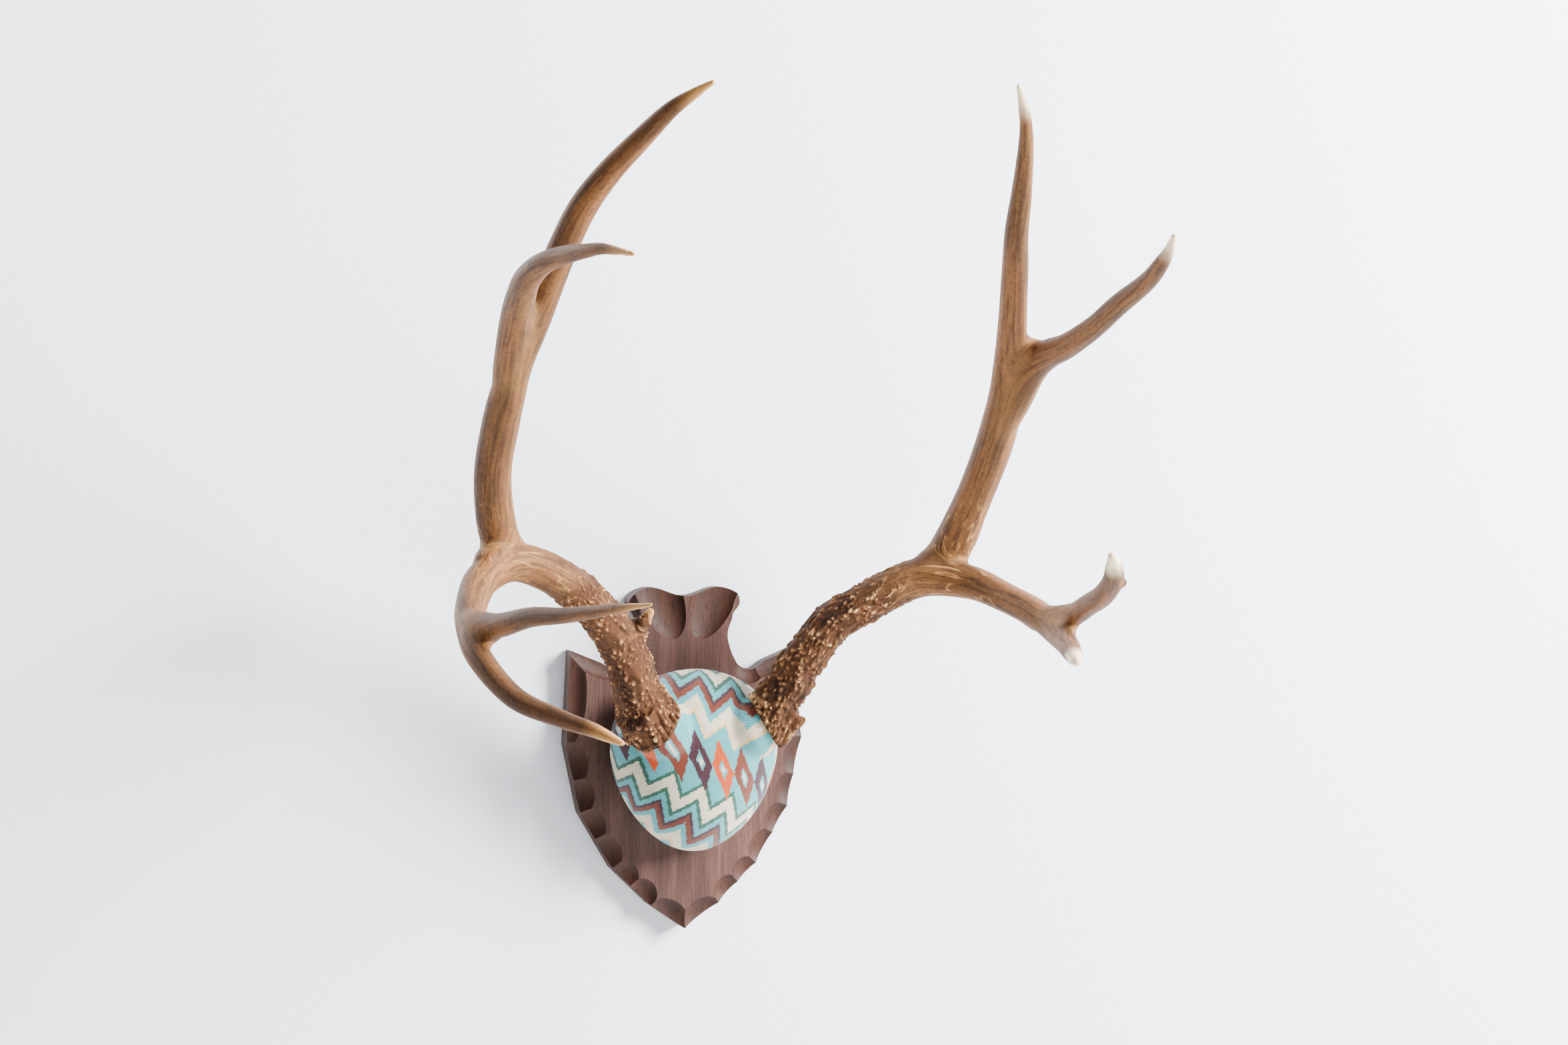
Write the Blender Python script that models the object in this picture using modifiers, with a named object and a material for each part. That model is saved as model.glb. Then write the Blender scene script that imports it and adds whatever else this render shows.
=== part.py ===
"""Deer antler trophy mount: a pair of antlers on a padded skull cap, fixed to a carved
walnut shield that hangs flat on a wall.

The back of the shield lies in the plane Y = 0 and faces +Y. Everything else stands out
towards -Y, with +Z up. The origin is on the back face, in the middle of the shield.
"""

import math

import bmesh
import bpy
from mathutils import Matrix, Vector

# Driving dimensions, in metres.
SHIELD_THICKNESS = 0.019
SHIELD_HEIGHT = 0.256
SHIELD_WIDTH = 0.184
SCOOP_DEPTH = 0.0062
SCOOP_REACH = 0.0130
SCOOP_LIFT = 0.0020

CAP_WIDTH = 0.126
CAP_HEIGHT = 0.136
CAP_BULGE = 0.045
CAP_BULGE_STANDOFF = 0.020
CAP_CENTRE_UP = 0.004
CAP_TAPER = 0.17

ANTLER_RISE = 0.434
BEAM_DIAMETER = 0.035
BURR_DIAMETER = 0.047
BURR_THICKNESS = 0.0085
BURR_KNOB_DIAMETER = 0.0062
PEARL_DIAMETER = 0.0056
PEDICLE_DIAMETER = 0.041

# Touching pieces keep this gap between their faces.
SEAT_GAP = 0.0003
# The cap's pocket is this much wider than the burr that stands in it.
POCKET_CLEARANCE = 0.0006

# Where a burr stands on the cap, as shares of the cap's half width and half height, and
# how far its middle stands proud of the cap's rounded face. It faces outwards, turned
# towards the viewer and lifted. The two antlers differ a little, as real ones do.
LEFT_BURR_ACROSS = 0.60
RIGHT_BURR_ACROSS = 0.68
BURR_UP = 0.42
BURR_PROUD = 0.0025
LEFT_BURR_TURN = math.radians(30.0)
RIGHT_BURR_TURN = math.radians(18.0)
BURR_LIFT = math.radians(31.0)

# The cap's stub below a burr: how much its foot is wider than its top, how long it is and
# how deep its middle is sunk, all as shares of its radius.
STUB_FLARE = 1.35
STUB_LENGTH = 1.6
STUB_SINK = 0.7

# The burr's ring: how high its middle stands over the seat and how much narrower its upper
# rim is, then how much the knobs on its rim vary in size and height, in waves round it.
BURR_MIDDLE = 0.45
BURR_UPPER_RIM = 0.86
BURR_KNOBS = 21
KNOB_SIZE_VARIATION = 0.14
KNOB_SIZE_WAVES = 5
KNOB_LIFT_VARIATION = 0.16
KNOB_LIFT_WAVES = 7

# Pearls start this many route points above the beam's foot and end at this share of its
# route. They shrink by a share on the way, and are sunk by a share of their radius.
PEARLS = 58
PEARLS_START = 5
PEARLS_END = 0.44
PEARL_SHRINK = 0.45
PEARL_SINK = 0.15
GOLDEN_ANGLE = math.radians(137.5)

# Grid sizes for merging the branches, passes of smoothing, steps between two stations,
# sides of round forms, and the facets that each free form ends with.
MERGE_GRID = 0.0022
DETAIL_GRID = 0.0018
CAP_SMOOTHING = 6
BRANCH_SMOOTHING = 4
DETAIL_SMOOTHING = 1
ROUTE_STEPS = 4
ROUND_SIDES = 40
SCOOP_SIDES = 18
SCOOP_RINGS = 10
CAP_SIDES = 48
CAP_RINGS = 32
OUTLINE_STEPS = 7
TUBE_ROUNDNESS = 4
ANTLER_FACETS = 3300
CAP_FACETS = 800

# Half of the shield's outline, from the tip up to the middle of the top edge, as shares
# of the half width and of the height, measured from the shield's middle. "corner" points
# are sharp ridges, "curve" points are rounded.
OUTLINE = (
    (0.000, -0.490, "corner"),
    (0.292, -0.417, "corner"),
    (0.609, -0.306, "corner"),
    (0.880, -0.141, "corner"),
    (1.000, 0.059, "corner"),
    (0.963, 0.334, "corner"),
    (0.710, 0.297, "curve"),
    (0.540, 0.270, "curve"),
    (0.356, 0.356, "curve"),
    (0.398, 0.430, "curve"),
    (0.471, 0.473, "curve"),
    (0.350, 0.512, "curve"),
    (0.000, 0.490, "curve"),
)

# Scoops cut into the front edge: two outline points that the scoop lies between, where
# its middle lies between them, and its half length as a share of their distance.
EDGE_SCOOPS = (
    (0, 1, 0.50, 0.52),
    (1, 2, 0.28, 0.31),
    (1, 2, 0.76, 0.30),
    (2, 3, 0.28, 0.32),
    (2, 3, 0.77, 0.29),
    (3, 4, 0.26, 0.29),
    (3, 4, 0.74, 0.33),
    (4, 5, 0.52, 0.53),
)

# Free-standing scoops: middle across and up, half width and half length, as shares of
# the shield's half width and height, and their lean in degrees.
OPEN_SCOOPS = (
    (0.240, 0.500, 0.198, 0.150, 22.0),
    (0.515, 0.460, 0.118, 0.080, 18.0),
    (0.750, 0.302, 0.128, 0.113, 67.0),
    (0.540, 0.279, 0.140, 0.052, 0.0),
)

# The antlers' branches as drawn, in millimetres: outwards, forwards and up from the
# middle of the burr's seat, and the branch's radius there. They are scaled to
# ANTLER_RISE and BEAM_DIAMETER.
LEFT_BRANCHES = {
    "beam": ((-9, -3, -6, 17), (0, 2, 0, 17.5), (14, 7, 22, 16.5), (22, 14, 40, 16),
             (32, 21, 60, 15.5), (49, 32, 82, 15), (82, 45, 109, 14.3),
             (117, 56, 122, 14), (145, 78, 113, 12.4), (164, 123, 97, 11.2),
             (174, 168, 80, 10.2), (175, 203, 64, 8.7), (161, 240, 42, 7.3),
             (139, 273, 31, 6), (125, 293, 26, 5), (115, 306, 21, 3.5),
             (109, 314, 18, 1.9)),
    "back_tine": ((117, 54, 120, 14), (131, 60, 142, 14.2), (142, 88, 180, 13.2),
                  (144, 118, 216, 13.1), (143, 153, 251, 11.8), (138, 190, 285, 11),
                  (132, 224, 319, 10.3), (124, 255, 351, 9.6), (112, 278, 374, 8.6),
                  (95, 300, 396, 7.2), (83, 319, 411, 5.5), (72, 332, 420, 3.8),
                  (62, 345, 427, 1.9)),
    "front_tine": ((145, 127, 226, 10.5), (147, 153, 251, 11.2), (153, 203, 285, 10.6),
                   (157, 236, 300, 9.7), (159, 263, 309, 8.8), (157, 293, 316, 7.4),
                   (152, 321, 319, 6.4), (147, 353, 320, 5), (141, 378, 320, 3.8),
                   (131, 411, 315, 1.8)),
    "fork_tine": ((169, 142, 88, 9), (171, 166, 86, 9.8), (164, 200, 86, 8.5),
                  (153, 246, 94, 6.6), (141, 286, 97, 5.4), (130, 320, 101, 4.3),
                  (121, 352, 105, 3), (110, 377, 108, 1.8)),
    "brow_nub": ((27, 19, 56, 9), (26, 21, 63, 8.4), (21, 26, 71, 7.2),
                 (17, 32, 79, 5), (13, 37, 87, 2.6)),
    "elbow_web": ((126, 56, 130, 12.5), (134, 64, 126, 13.6), (145, 78, 119, 12.4)),
    "fork_web": ((168, 180, 82, 8.6), (163, 196, 80, 7)),
}
RIGHT_BRANCHES = {
    "beam": ((-9, -3, -6, 17), (0, 3, 2, 17.5), (8, 8, 19, 16.5), (17, 13, 31, 15.8),
             (25, 18, 47, 15.3), (42, 29, 73, 14.8), (59, 38, 86, 14.5),
             (80, 48, 99, 14.4), (104, 57, 109, 14.7), (131, 81, 106, 12.4),
             (144, 113, 97, 10.8), (153, 153, 86, 10.8), (154, 186, 76, 10.2),
             (142, 231, 70, 8.2), (128, 271, 67, 6.8), (118, 299, 65, 5.4),
             (113, 313, 64, 3)),
    "back_tine": ((103, 57, 110, 14), (122, 61, 128, 15.4), (129, 93, 169, 13.4),
                  (131, 127, 208, 13.7), (127, 155, 237, 13), (121, 178, 265, 11.8),
                  (112, 203, 291, 10.2), (100, 236, 326, 9.2), (92, 257, 347, 8.2),
                  (86, 279, 371, 7), (78, 304, 395, 5.6), (71, 321, 410, 4.6),
                  (64, 333, 421, 3.7), (54, 348, 434, 1.9)),
    "front_tine": ((131, 130, 205, 11.5), (131, 157, 232, 12.6), (134, 183, 258, 11.8),
                   (138, 203, 268, 10.4), (140, 231, 273, 9), (143, 269, 284, 8),
                   (145, 305, 298, 7.4), (147, 343, 311, 6.4), (145, 368, 321, 5.4),
                   (142, 386, 329, 3.8), (136, 405, 337, 1.9)),
    "fork_tine": ((152, 140, 88, 10), (156, 163, 83, 10.8), (158, 203, 88, 8.6),
                  (152, 243, 97, 7.8), (145, 281, 105, 7.6), (137, 315, 116, 7.3),
                  (126, 341, 127, 5.9), (115, 361, 136, 2.6)),
    "fork_knob": ((139, 315, 116, 5.4), (145, 320, 115, 2.4)),
    "elbow_web": ((124, 66, 118, 9.5), (128, 75, 122, 6.5)),
    "back_web": ((128, 182, 262, 10), (130, 194, 272, 8.6), (130, 201, 276, 6)),
    "fork_web": ((152, 205, 80, 8), (150, 216, 80, 5.6)),
}


def clear_scene():
    """Remove whatever the file holds."""
    for thing in list(bpy.data.objects):
        bpy.data.objects.remove(thing, do_unlink=True)


def collection(name, parent):
    made = bpy.data.collections.new(name)
    parent.children.link(made)
    return made


def material(name, colour, roughness, metallic=0.0):
    made = bpy.data.materials.new(name)
    made.use_nodes = True
    shader = made.node_tree.nodes["Principled BSDF"]
    shader.inputs["Base Color"].default_value = (*colour, 1.0)
    shader.inputs["Roughness"].default_value = roughness
    shader.inputs["Metallic"].default_value = metallic
    made.diffuse_color = (*colour, 1.0)
    return made


def add_object(name, data, home):
    made = bpy.data.objects.new(name, data)
    home.objects.link(made)
    return made


def evaluated_mesh(thing):
    """The mesh that an object shows with its modifiers, or a curve with its bevel."""
    graph = bpy.context.evaluated_depsgraph_get()
    mesh = bpy.data.meshes.new_from_object(thing.evaluated_get(graph))
    mesh.transform(thing.matrix_world)
    form = bmesh.new()
    form.from_mesh(mesh)
    bmesh.ops.remove_doubles(form, verts=form.verts, dist=0.00001)
    form.to_mesh(mesh)
    form.free()
    return mesh


def take_mesh(thing):
    """The evaluated mesh of a helper object, which is then removed."""
    bpy.context.view_layer.update()
    mesh = evaluated_mesh(thing)
    bpy.data.objects.remove(thing, do_unlink=True)
    return mesh


def as_cutter(thing, home):
    for owner in list(thing.users_collection):
        owner.objects.unlink(thing)
    home.objects.link(thing)
    thing.hide_render = True
    thing.display_type = "WIRE"


def boolean(thing, name, operation, cutter):
    cut = thing.modifiers.new(name, "BOOLEAN")
    cut.operation = operation
    cut.solver = "EXACT"
    cut.object = cutter
    return cut


def shield_point(across, up):
    return Vector((across * SHIELD_WIDTH / 2, up * SHIELD_HEIGHT, 0.0))


def shield_outline(home):
    """The shield as a flat outline with round stretches, thickened both ways."""
    data = bpy.data.curves.new("shield_outline", "CURVE")
    data.dimensions = "2D"
    data.fill_mode = "BOTH"
    data.extrude = SHIELD_THICKNESS / 2
    data.resolution_u = OUTLINE_STEPS
    mirrored = [(-x, y, kind) for x, y, kind in reversed(OUTLINE[1:-1])]
    points = list(OUTLINE) + mirrored
    spline = data.splines.new("BEZIER")
    spline.bezier_points.add(len(points) - 1)
    spline.use_cyclic_u = True
    for point, (across, up, kind) in zip(spline.bezier_points, points):
        point.co = shield_point(across, up)
        handle = "AUTO" if kind == "curve" else "VECTOR"
        point.handle_left_type = handle
        point.handle_right_type = handle
    made = add_object("shield_outline", data, home)
    made.location = (0.0, -SHIELD_THICKNESS / 2, 0.0)
    made.rotation_euler = (math.pi / 2, 0.0, 0.0)
    return made


def scoop(home, centre, half_width, half_length, lean):
    """One gouge cut: an egg-shaped cutter sunk into the shield's front face."""
    depth = SCOOP_DEPTH + SCOOP_LIFT
    bpy.ops.mesh.primitive_uv_sphere_add(segments=SCOOP_SIDES, ring_count=SCOOP_RINGS,
                                         radius=1.0)
    cutter = bpy.context.object
    cutter.name = "scoop"
    spread = Matrix.Diagonal((half_width, depth, half_length, 1.0))
    turn = Matrix.Rotation(lean, 4, "Y")
    front = -SHIELD_THICKNESS - SCOOP_LIFT
    place = Matrix.Translation((centre.x, front, centre.y))
    cutter.data.transform(place @ turn @ spread)
    as_cutter(cutter, home)
    return cutter


def cut_scoops(home):
    for side in (-1, 1):
        for start, end, share, half in EDGE_SCOOPS:
            first = shield_point(OUTLINE[start][0] * side, OUTLINE[start][1])
            last = shield_point(OUTLINE[end][0] * side, OUTLINE[end][1])
            along = last - first
            centre = first.lerp(last, share)
            lean = math.atan2(along.x, along.y)
            # Where the cutter meets the face it is narrower than at its middle.
            narrowing = math.sqrt(1 - (SCOOP_LIFT / (SCOOP_DEPTH + SCOOP_LIFT)) ** 2)
            reach = SCOOP_REACH / narrowing
            scoop(home, centre, reach, along.length * half / narrowing, lean)
        for across, up, half_width, half_length, lean in OPEN_SCOOPS:
            centre = shield_point(across * side, up)
            wide = half_width * SHIELD_WIDTH / 2
            long = half_length * SHIELD_HEIGHT
            scoop(home, centre, wide, long, math.radians(lean * side))


def make_shield(home, cutters, finish):
    outline = shield_outline(home)
    mesh = take_mesh(outline)
    mesh.name = "plaque"
    made = add_object("plaque", mesh, home)
    mesh.materials.clear()
    mesh.materials.append(finish)
    scoops = collection("scoops", cutters)
    cut_scoops(scoops)
    cut = made.modifiers.new("scoops", "BOOLEAN")
    cut.operation = "DIFFERENCE"
    cut.solver = "EXACT"
    cut.operand_type = "COLLECTION"
    cut.collection = scoops
    return made


def cap_centre():
    return Vector((0.0, -SHIELD_THICKNESS - CAP_BULGE_STANDOFF, CAP_CENTRE_UP))


def cap_surface(across, up):
    """The point of the cap's rounded front at shares of its half width and height."""
    girth = math.sqrt(1 - up ** 2) * (1 + CAP_TAPER * up)
    depth = CAP_BULGE * math.sqrt(1 - up ** 2) * math.sqrt(1 - (across / girth) ** 2)
    return cap_centre() + Vector((across * CAP_WIDTH / 2, -depth, up * CAP_HEIGHT / 2))


def burr_direction(side):
    turn = LEFT_BURR_TURN if side < 0 else RIGHT_BURR_TURN
    flat = math.cos(BURR_LIFT)
    return Vector((side * flat * math.cos(turn), -flat * math.sin(turn),
                   math.sin(BURR_LIFT)))


def burr_seat(side):
    """Middle of the flat seat that a burr stands on."""
    across = LEFT_BURR_ACROSS if side < 0 else RIGHT_BURR_ACROSS
    point = cap_surface(across, BURR_UP)
    seat = Vector((side * point.x, point.y, point.z))
    return seat + burr_direction(side) * BURR_PROUD


def aim(direction, place):
    """A matrix that turns +Z to a direction and moves to a place."""
    turn = direction.to_track_quat("Z", "Y").to_matrix().to_4x4()
    return Matrix.Translation(place) @ turn


def seat_cutter(name, side, start, length, radius, home):
    """A cylinder on the burr's axis that starts a given way above its seat."""
    bpy.ops.mesh.primitive_cylinder_add(vertices=ROUND_SIDES, radius=radius, depth=length)
    cutter = bpy.context.object
    cutter.name = name
    direction = burr_direction(side)
    middle = burr_seat(side) + direction * (start + length / 2)
    cutter.data.transform(aim(direction, middle))
    as_cutter(cutter, home)
    return cutter


def make_cap(home, cutters, finish):
    """An egg-shaped dome with two short stubs that carry the burrs."""
    form = bmesh.new()
    bmesh.ops.create_uvsphere(form, u_segments=CAP_SIDES, v_segments=CAP_RINGS,
                              radius=1.0)
    centre = cap_centre()
    for vert in form.verts:
        girth = 1 + CAP_TAPER * vert.co.z
        vert.co = centre + Vector((vert.co.x * girth * CAP_WIDTH / 2,
                                   vert.co.y * CAP_BULGE,
                                   vert.co.z * CAP_HEIGHT / 2))
    stub = PEDICLE_DIAMETER / 2
    for side in (-1, 1):
        direction = burr_direction(side)
        place = aim(direction, burr_seat(side) - direction * stub * STUB_SINK)
        bmesh.ops.create_cone(form, cap_ends=True, segments=ROUND_SIDES,
                              radius1=stub * STUB_FLARE, radius2=stub,
                              depth=stub * STUB_LENGTH, matrix=place)
    mesh = bpy.data.meshes.new("skull_cap")
    form.to_mesh(mesh)
    form.free()
    mesh.materials.append(finish)
    made = add_object("skull_cap", mesh, home)
    smooth_and_thin(made, MERGE_GRID, CAP_SMOOTHING, CAP_FACETS)

    reach = CAP_WIDTH + CAP_HEIGHT
    bpy.ops.mesh.primitive_cube_add(size=1.0)
    behind = bpy.context.object
    behind.name = "behind_cap"
    face = -SHIELD_THICKNESS - SEAT_GAP
    block = Matrix.Diagonal((reach, reach, reach, 1.0))
    behind.data.transform(Matrix.Translation((0.0, face + reach / 2, 0.0)) @ block)
    as_cutter(behind, cutters)
    boolean(made, "flat_back", "DIFFERENCE", behind)
    pocket = BURR_DIAMETER / 2 + POCKET_CLEARANCE
    for side, name in ((-1, "left_pocket"), (1, "right_pocket")):
        cutter = seat_cutter(name, side, 0.0, CAP_WIDTH, pocket, cutters)
        boolean(made, name, "DIFFERENCE", cutter)
    return made


def smooth_and_thin(thing, grid, passes, facets):
    """Merge a thing's overlapping shells on a grid, soften them and thin the facets."""
    merge = thing.modifiers.new("merge", "REMESH")
    merge.mode = "VOXEL"
    merge.voxel_size = grid
    if passes:
        soften = thing.modifiers.new("soften", "SMOOTH")
        soften.factor = 0.5
        soften.iterations = passes
    if facets:
        bpy.context.view_layer.update()
        graph = bpy.context.evaluated_depsgraph_get()
        quads = len(thing.evaluated_get(graph).data.polygons)
        thin = thing.modifiers.new("thin", "DECIMATE")
        thin.ratio = min(1.0, facets / (2 * quads))


def smooth_route(points, steps):
    """Points along a smooth curve through stations, each with its radius."""
    route = []
    last = len(points) - 1
    for index in range(last):
        before = points[max(index - 1, 0)]
        start = points[index]
        end = points[index + 1]
        after = points[min(index + 2, last)]
        for step in range(steps):
            t = step / steps
            values = [
                0.5 * (2 * b + (c - a) * t + (2 * a - 5 * b + 4 * c - d) * t * t
                       + (3 * b - a - 3 * c + d) * t * t * t)
                for a, b, c, d in zip(before, start, end, after)
            ]
            route.append((Vector(values[:3]), values[3]))
    route.append((Vector(points[last][:3]), points[last][3]))
    return route


def drawn_most(field):
    """The largest value of one field among all drawn stations of both antlers."""
    sets = (LEFT_BRANCHES, RIGHT_BRANCHES)
    return max(point[field] for branches in sets for branch in branches.values()
               for point in branch)


def place_branch(stations, side):
    """Stations in metres, about the burr's seat, at the antler's real size."""
    scale = ANTLER_RISE / drawn_most(2)
    girth = BEAM_DIAMETER / 2 / drawn_most(3)
    seat = burr_seat(side)
    return [(seat.x + side * out * scale, seat.y - forward * scale,
             seat.z + up * scale, radius * girth)
            for out, forward, up, radius in stations]


def branch_tube(name, route, home):
    """A tapering tube along a route, as a closed mesh."""
    data = bpy.data.curves.new(name, "CURVE")
    data.dimensions = "3D"
    data.bevel_depth = 1.0
    data.bevel_resolution = TUBE_ROUNDNESS
    data.use_fill_caps = True
    spline = data.splines.new("POLY")
    spline.points.add(len(route) - 1)
    for point, (place, radius) in zip(spline.points, route):
        point.co = (*place, 1.0)
        point.radius = radius
    return take_mesh(add_object(name, data, home))


def burr_mesh(side):
    """The burr: a thick ring round the beam's foot with a rim of knobs."""
    form = bmesh.new()
    direction = burr_direction(side)
    frame = aim(direction, burr_seat(side) + direction * BURR_THICKNESS * BURR_MIDDLE)
    knob = BURR_KNOB_DIAMETER / 2
    ring = BURR_DIAMETER / 2 - knob
    for index in range(BURR_KNOBS):
        angle = math.tau * index / BURR_KNOBS
        size_wave = math.sin(KNOB_SIZE_WAVES * angle + side) - 1
        lift_wave = math.sin(KNOB_LIFT_WAVES * angle)
        size = knob * (1 + KNOB_SIZE_VARIATION * size_wave)
        lift = BURR_THICKNESS * KNOB_LIFT_VARIATION * lift_wave
        place = Vector((ring * math.cos(angle), ring * math.sin(angle), lift))
        bmesh.ops.create_icosphere(form, subdivisions=2, radius=size,
                                   matrix=frame @ Matrix.Translation(place))
    bmesh.ops.create_cone(form, cap_ends=True, segments=ROUND_SIDES, radius1=ring,
                          radius2=ring * BURR_UPPER_RIM, depth=BURR_THICKNESS,
                          matrix=frame)
    mesh = bpy.data.meshes.new("burr")
    form.to_mesh(mesh)
    form.free()
    return mesh


def pearl_mesh(route, side):
    """Pearls on the lower beam, in a spiral, smaller towards the fork."""
    form = bmesh.new()
    normal = Vector((0.0, -1.0, 0.0))
    pearled = route[PEARLS_START:round(len(route) * PEARLS_END)]
    for index in range(PEARLS):
        share = (index + 0.5) / PEARLS
        slot = share * (len(pearled) - 2)
        step = int(slot)
        place, radius = pearled[step]
        ahead, next_radius = pearled[step + 1]
        along = (ahead - place).normalized()
        centre = place.lerp(ahead, slot - step)
        girth = radius + (next_radius - radius) * (slot - step)
        out = (normal - along * normal.dot(along)).normalized()
        out.rotate(Matrix.Rotation(index * GOLDEN_ANGLE * side, 3, along))
        size = PEARL_DIAMETER / 2 * (1.0 - PEARL_SHRINK * share)
        spot = Matrix.Translation(centre + out * (girth - size * PEARL_SINK))
        bmesh.ops.create_icosphere(form, subdivisions=1, radius=size, matrix=spot)
    mesh = bpy.data.meshes.new("pearls")
    form.to_mesh(mesh)
    form.free()
    return mesh


def joined(name, meshes, home):
    """One object that holds several closed meshes, still overlapping."""
    form = bmesh.new()
    for mesh in meshes:
        form.from_mesh(mesh)
        bpy.data.meshes.remove(mesh)
    mesh = bpy.data.meshes.new(name)
    form.to_mesh(mesh)
    form.free()
    return add_object(name, mesh, home)


def make_antler(name, side, branches, home, cutters, finish):
    tubes = []
    beam = None
    for branch, stations in branches.items():
        route = smooth_route(place_branch(stations, side), ROUTE_STEPS)
        if branch == "beam":
            beam = route
        tubes.append(branch_tube(branch, route, home))
    body = joined("branches", tubes, home)
    smooth_and_thin(body, MERGE_GRID, BRANCH_SMOOTHING, 0)
    shells = [take_mesh(body), burr_mesh(side), pearl_mesh(beam, side)]
    made = joined(name, shells, home)
    made.data.materials.append(finish)
    smooth_and_thin(made, DETAIL_GRID, DETAIL_SMOOTHING, ANTLER_FACETS)
    seat_side = "left" if side < 0 else "right"
    cutter = seat_cutter(seat_side + "_seat", side, SEAT_GAP - BURR_DIAMETER,
                         BURR_DIAMETER, BURR_DIAMETER, cutters)
    boolean(made, "seat", "DIFFERENCE", cutter)
    return made


def build():
    clear_scene()
    scene = bpy.context.scene.collection
    parts = collection("deer_antler_trophy_mount", scene)
    cutters = collection("cutters", scene)
    walnut = material("walnut", (0.22, 0.11, 0.075), 0.45)
    wool = material("blanket_wool", (0.30, 0.52, 0.54), 0.95)
    antler = material("antler", (0.36, 0.22, 0.12), 0.5)
    make_shield(parts, cutters, walnut)
    make_cap(parts, cutters, wool)
    make_antler("left_antler", -1, LEFT_BRANCHES, parts, cutters, antler)
    make_antler("right_antler", 1, RIGHT_BRANCHES, parts, cutters, antler)


build()
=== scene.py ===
"""The looks of the deer antler trophy mount: a carved walnut shield, a skull cap covered
with a patterned wool blanket, a pair of antlers, and the wall they hang on.

Everything is in metres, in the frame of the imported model: the shield's back lies in the
plane Y = 0, the antlers stand out towards -Y, and +Z is up.
"""

import math
import random

import bpy
import numpy as np
from mathutils import Matrix, Vector, kdtree, noise


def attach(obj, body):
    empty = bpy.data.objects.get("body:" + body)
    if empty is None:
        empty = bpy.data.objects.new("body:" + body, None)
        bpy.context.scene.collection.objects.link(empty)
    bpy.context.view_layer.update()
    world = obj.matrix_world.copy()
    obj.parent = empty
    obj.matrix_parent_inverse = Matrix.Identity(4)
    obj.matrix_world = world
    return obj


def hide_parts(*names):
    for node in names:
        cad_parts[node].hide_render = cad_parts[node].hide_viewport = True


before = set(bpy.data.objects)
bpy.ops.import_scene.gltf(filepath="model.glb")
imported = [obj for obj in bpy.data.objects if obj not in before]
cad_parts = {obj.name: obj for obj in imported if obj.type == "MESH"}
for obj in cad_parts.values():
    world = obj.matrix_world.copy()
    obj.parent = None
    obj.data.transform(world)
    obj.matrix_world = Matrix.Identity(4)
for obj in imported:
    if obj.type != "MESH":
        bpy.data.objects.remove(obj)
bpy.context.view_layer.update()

bl_info = {
    "name": "Deer Antler Trophy Mount",
    "version": (1, 0, 0),
    "blender": (4, 5, 0),
    "location": "3D View > Sidebar > Trophy Mount",
    "description": "Models and finishes a pair of antlers on a carved shield",
    "category": "Object",
}

# The gap between pieces that meet, the room round a burr in its pocket, the facets round
# the cap and its pockets, and the most triangles that one antler keeps.
SEAT_GAP = 0.0003
POCKET_CLEARANCE = 0.0006
CAP_SIDES = 96
ANTLER_TRIANGLES = 190000

# Half of the shield's outline, from the tip up to the middle of the top edge, as shares
# of the half width and of the height, measured from the shield's middle.
OUTLINE = (
    (0.000, -0.490, "corner"),
    (0.292, -0.417, "corner"),
    (0.609, -0.306, "corner"),
    (0.880, -0.141, "corner"),
    (1.000, 0.059, "corner"),
    (0.963, 0.334, "corner"),
    (0.710, 0.297, "curve"),
    (0.540, 0.270, "curve"),
    (0.356, 0.356, "curve"),
    (0.398, 0.430, "curve"),
    (0.471, 0.473, "curve"),
    (0.350, 0.512, "curve"),
    (0.000, 0.490, "curve"),
)

# Scoops in the front edge: two outline points, where the scoop's middle lies between
# them, and its half length as a share of their distance.
EDGE_SCOOPS = (
    (0, 1, 0.50, 0.52),
    (1, 2, 0.28, 0.31),
    (1, 2, 0.76, 0.30),
    (2, 3, 0.28, 0.32),
    (2, 3, 0.77, 0.29),
    (3, 4, 0.26, 0.29),
    (3, 4, 0.74, 0.33),
    (4, 5, 0.52, 0.53),
)

# Free-standing scoops: middle across and up, half width and half length, as shares of
# the shield's half width and height, and their lean in degrees.
OPEN_SCOOPS = (
    (0.240, 0.500, 0.198, 0.150, 22.0),
    (0.515, 0.460, 0.118, 0.080, 18.0),
    (0.750, 0.302, 0.128, 0.113, 67.0),
    (0.540, 0.279, 0.140, 0.052, 0.0),
)

# Where the board's glued strips begin, across in metres, and each one's tone against the
# strip before it.
BOARD_SEAMS = (
    (-0.0265, (0.90, 0.86, 0.84)), (0.0235, (1.16, 1.16, 1.20)), (0.0640, (0.84, 0.83, 0.86)),
)

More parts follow.
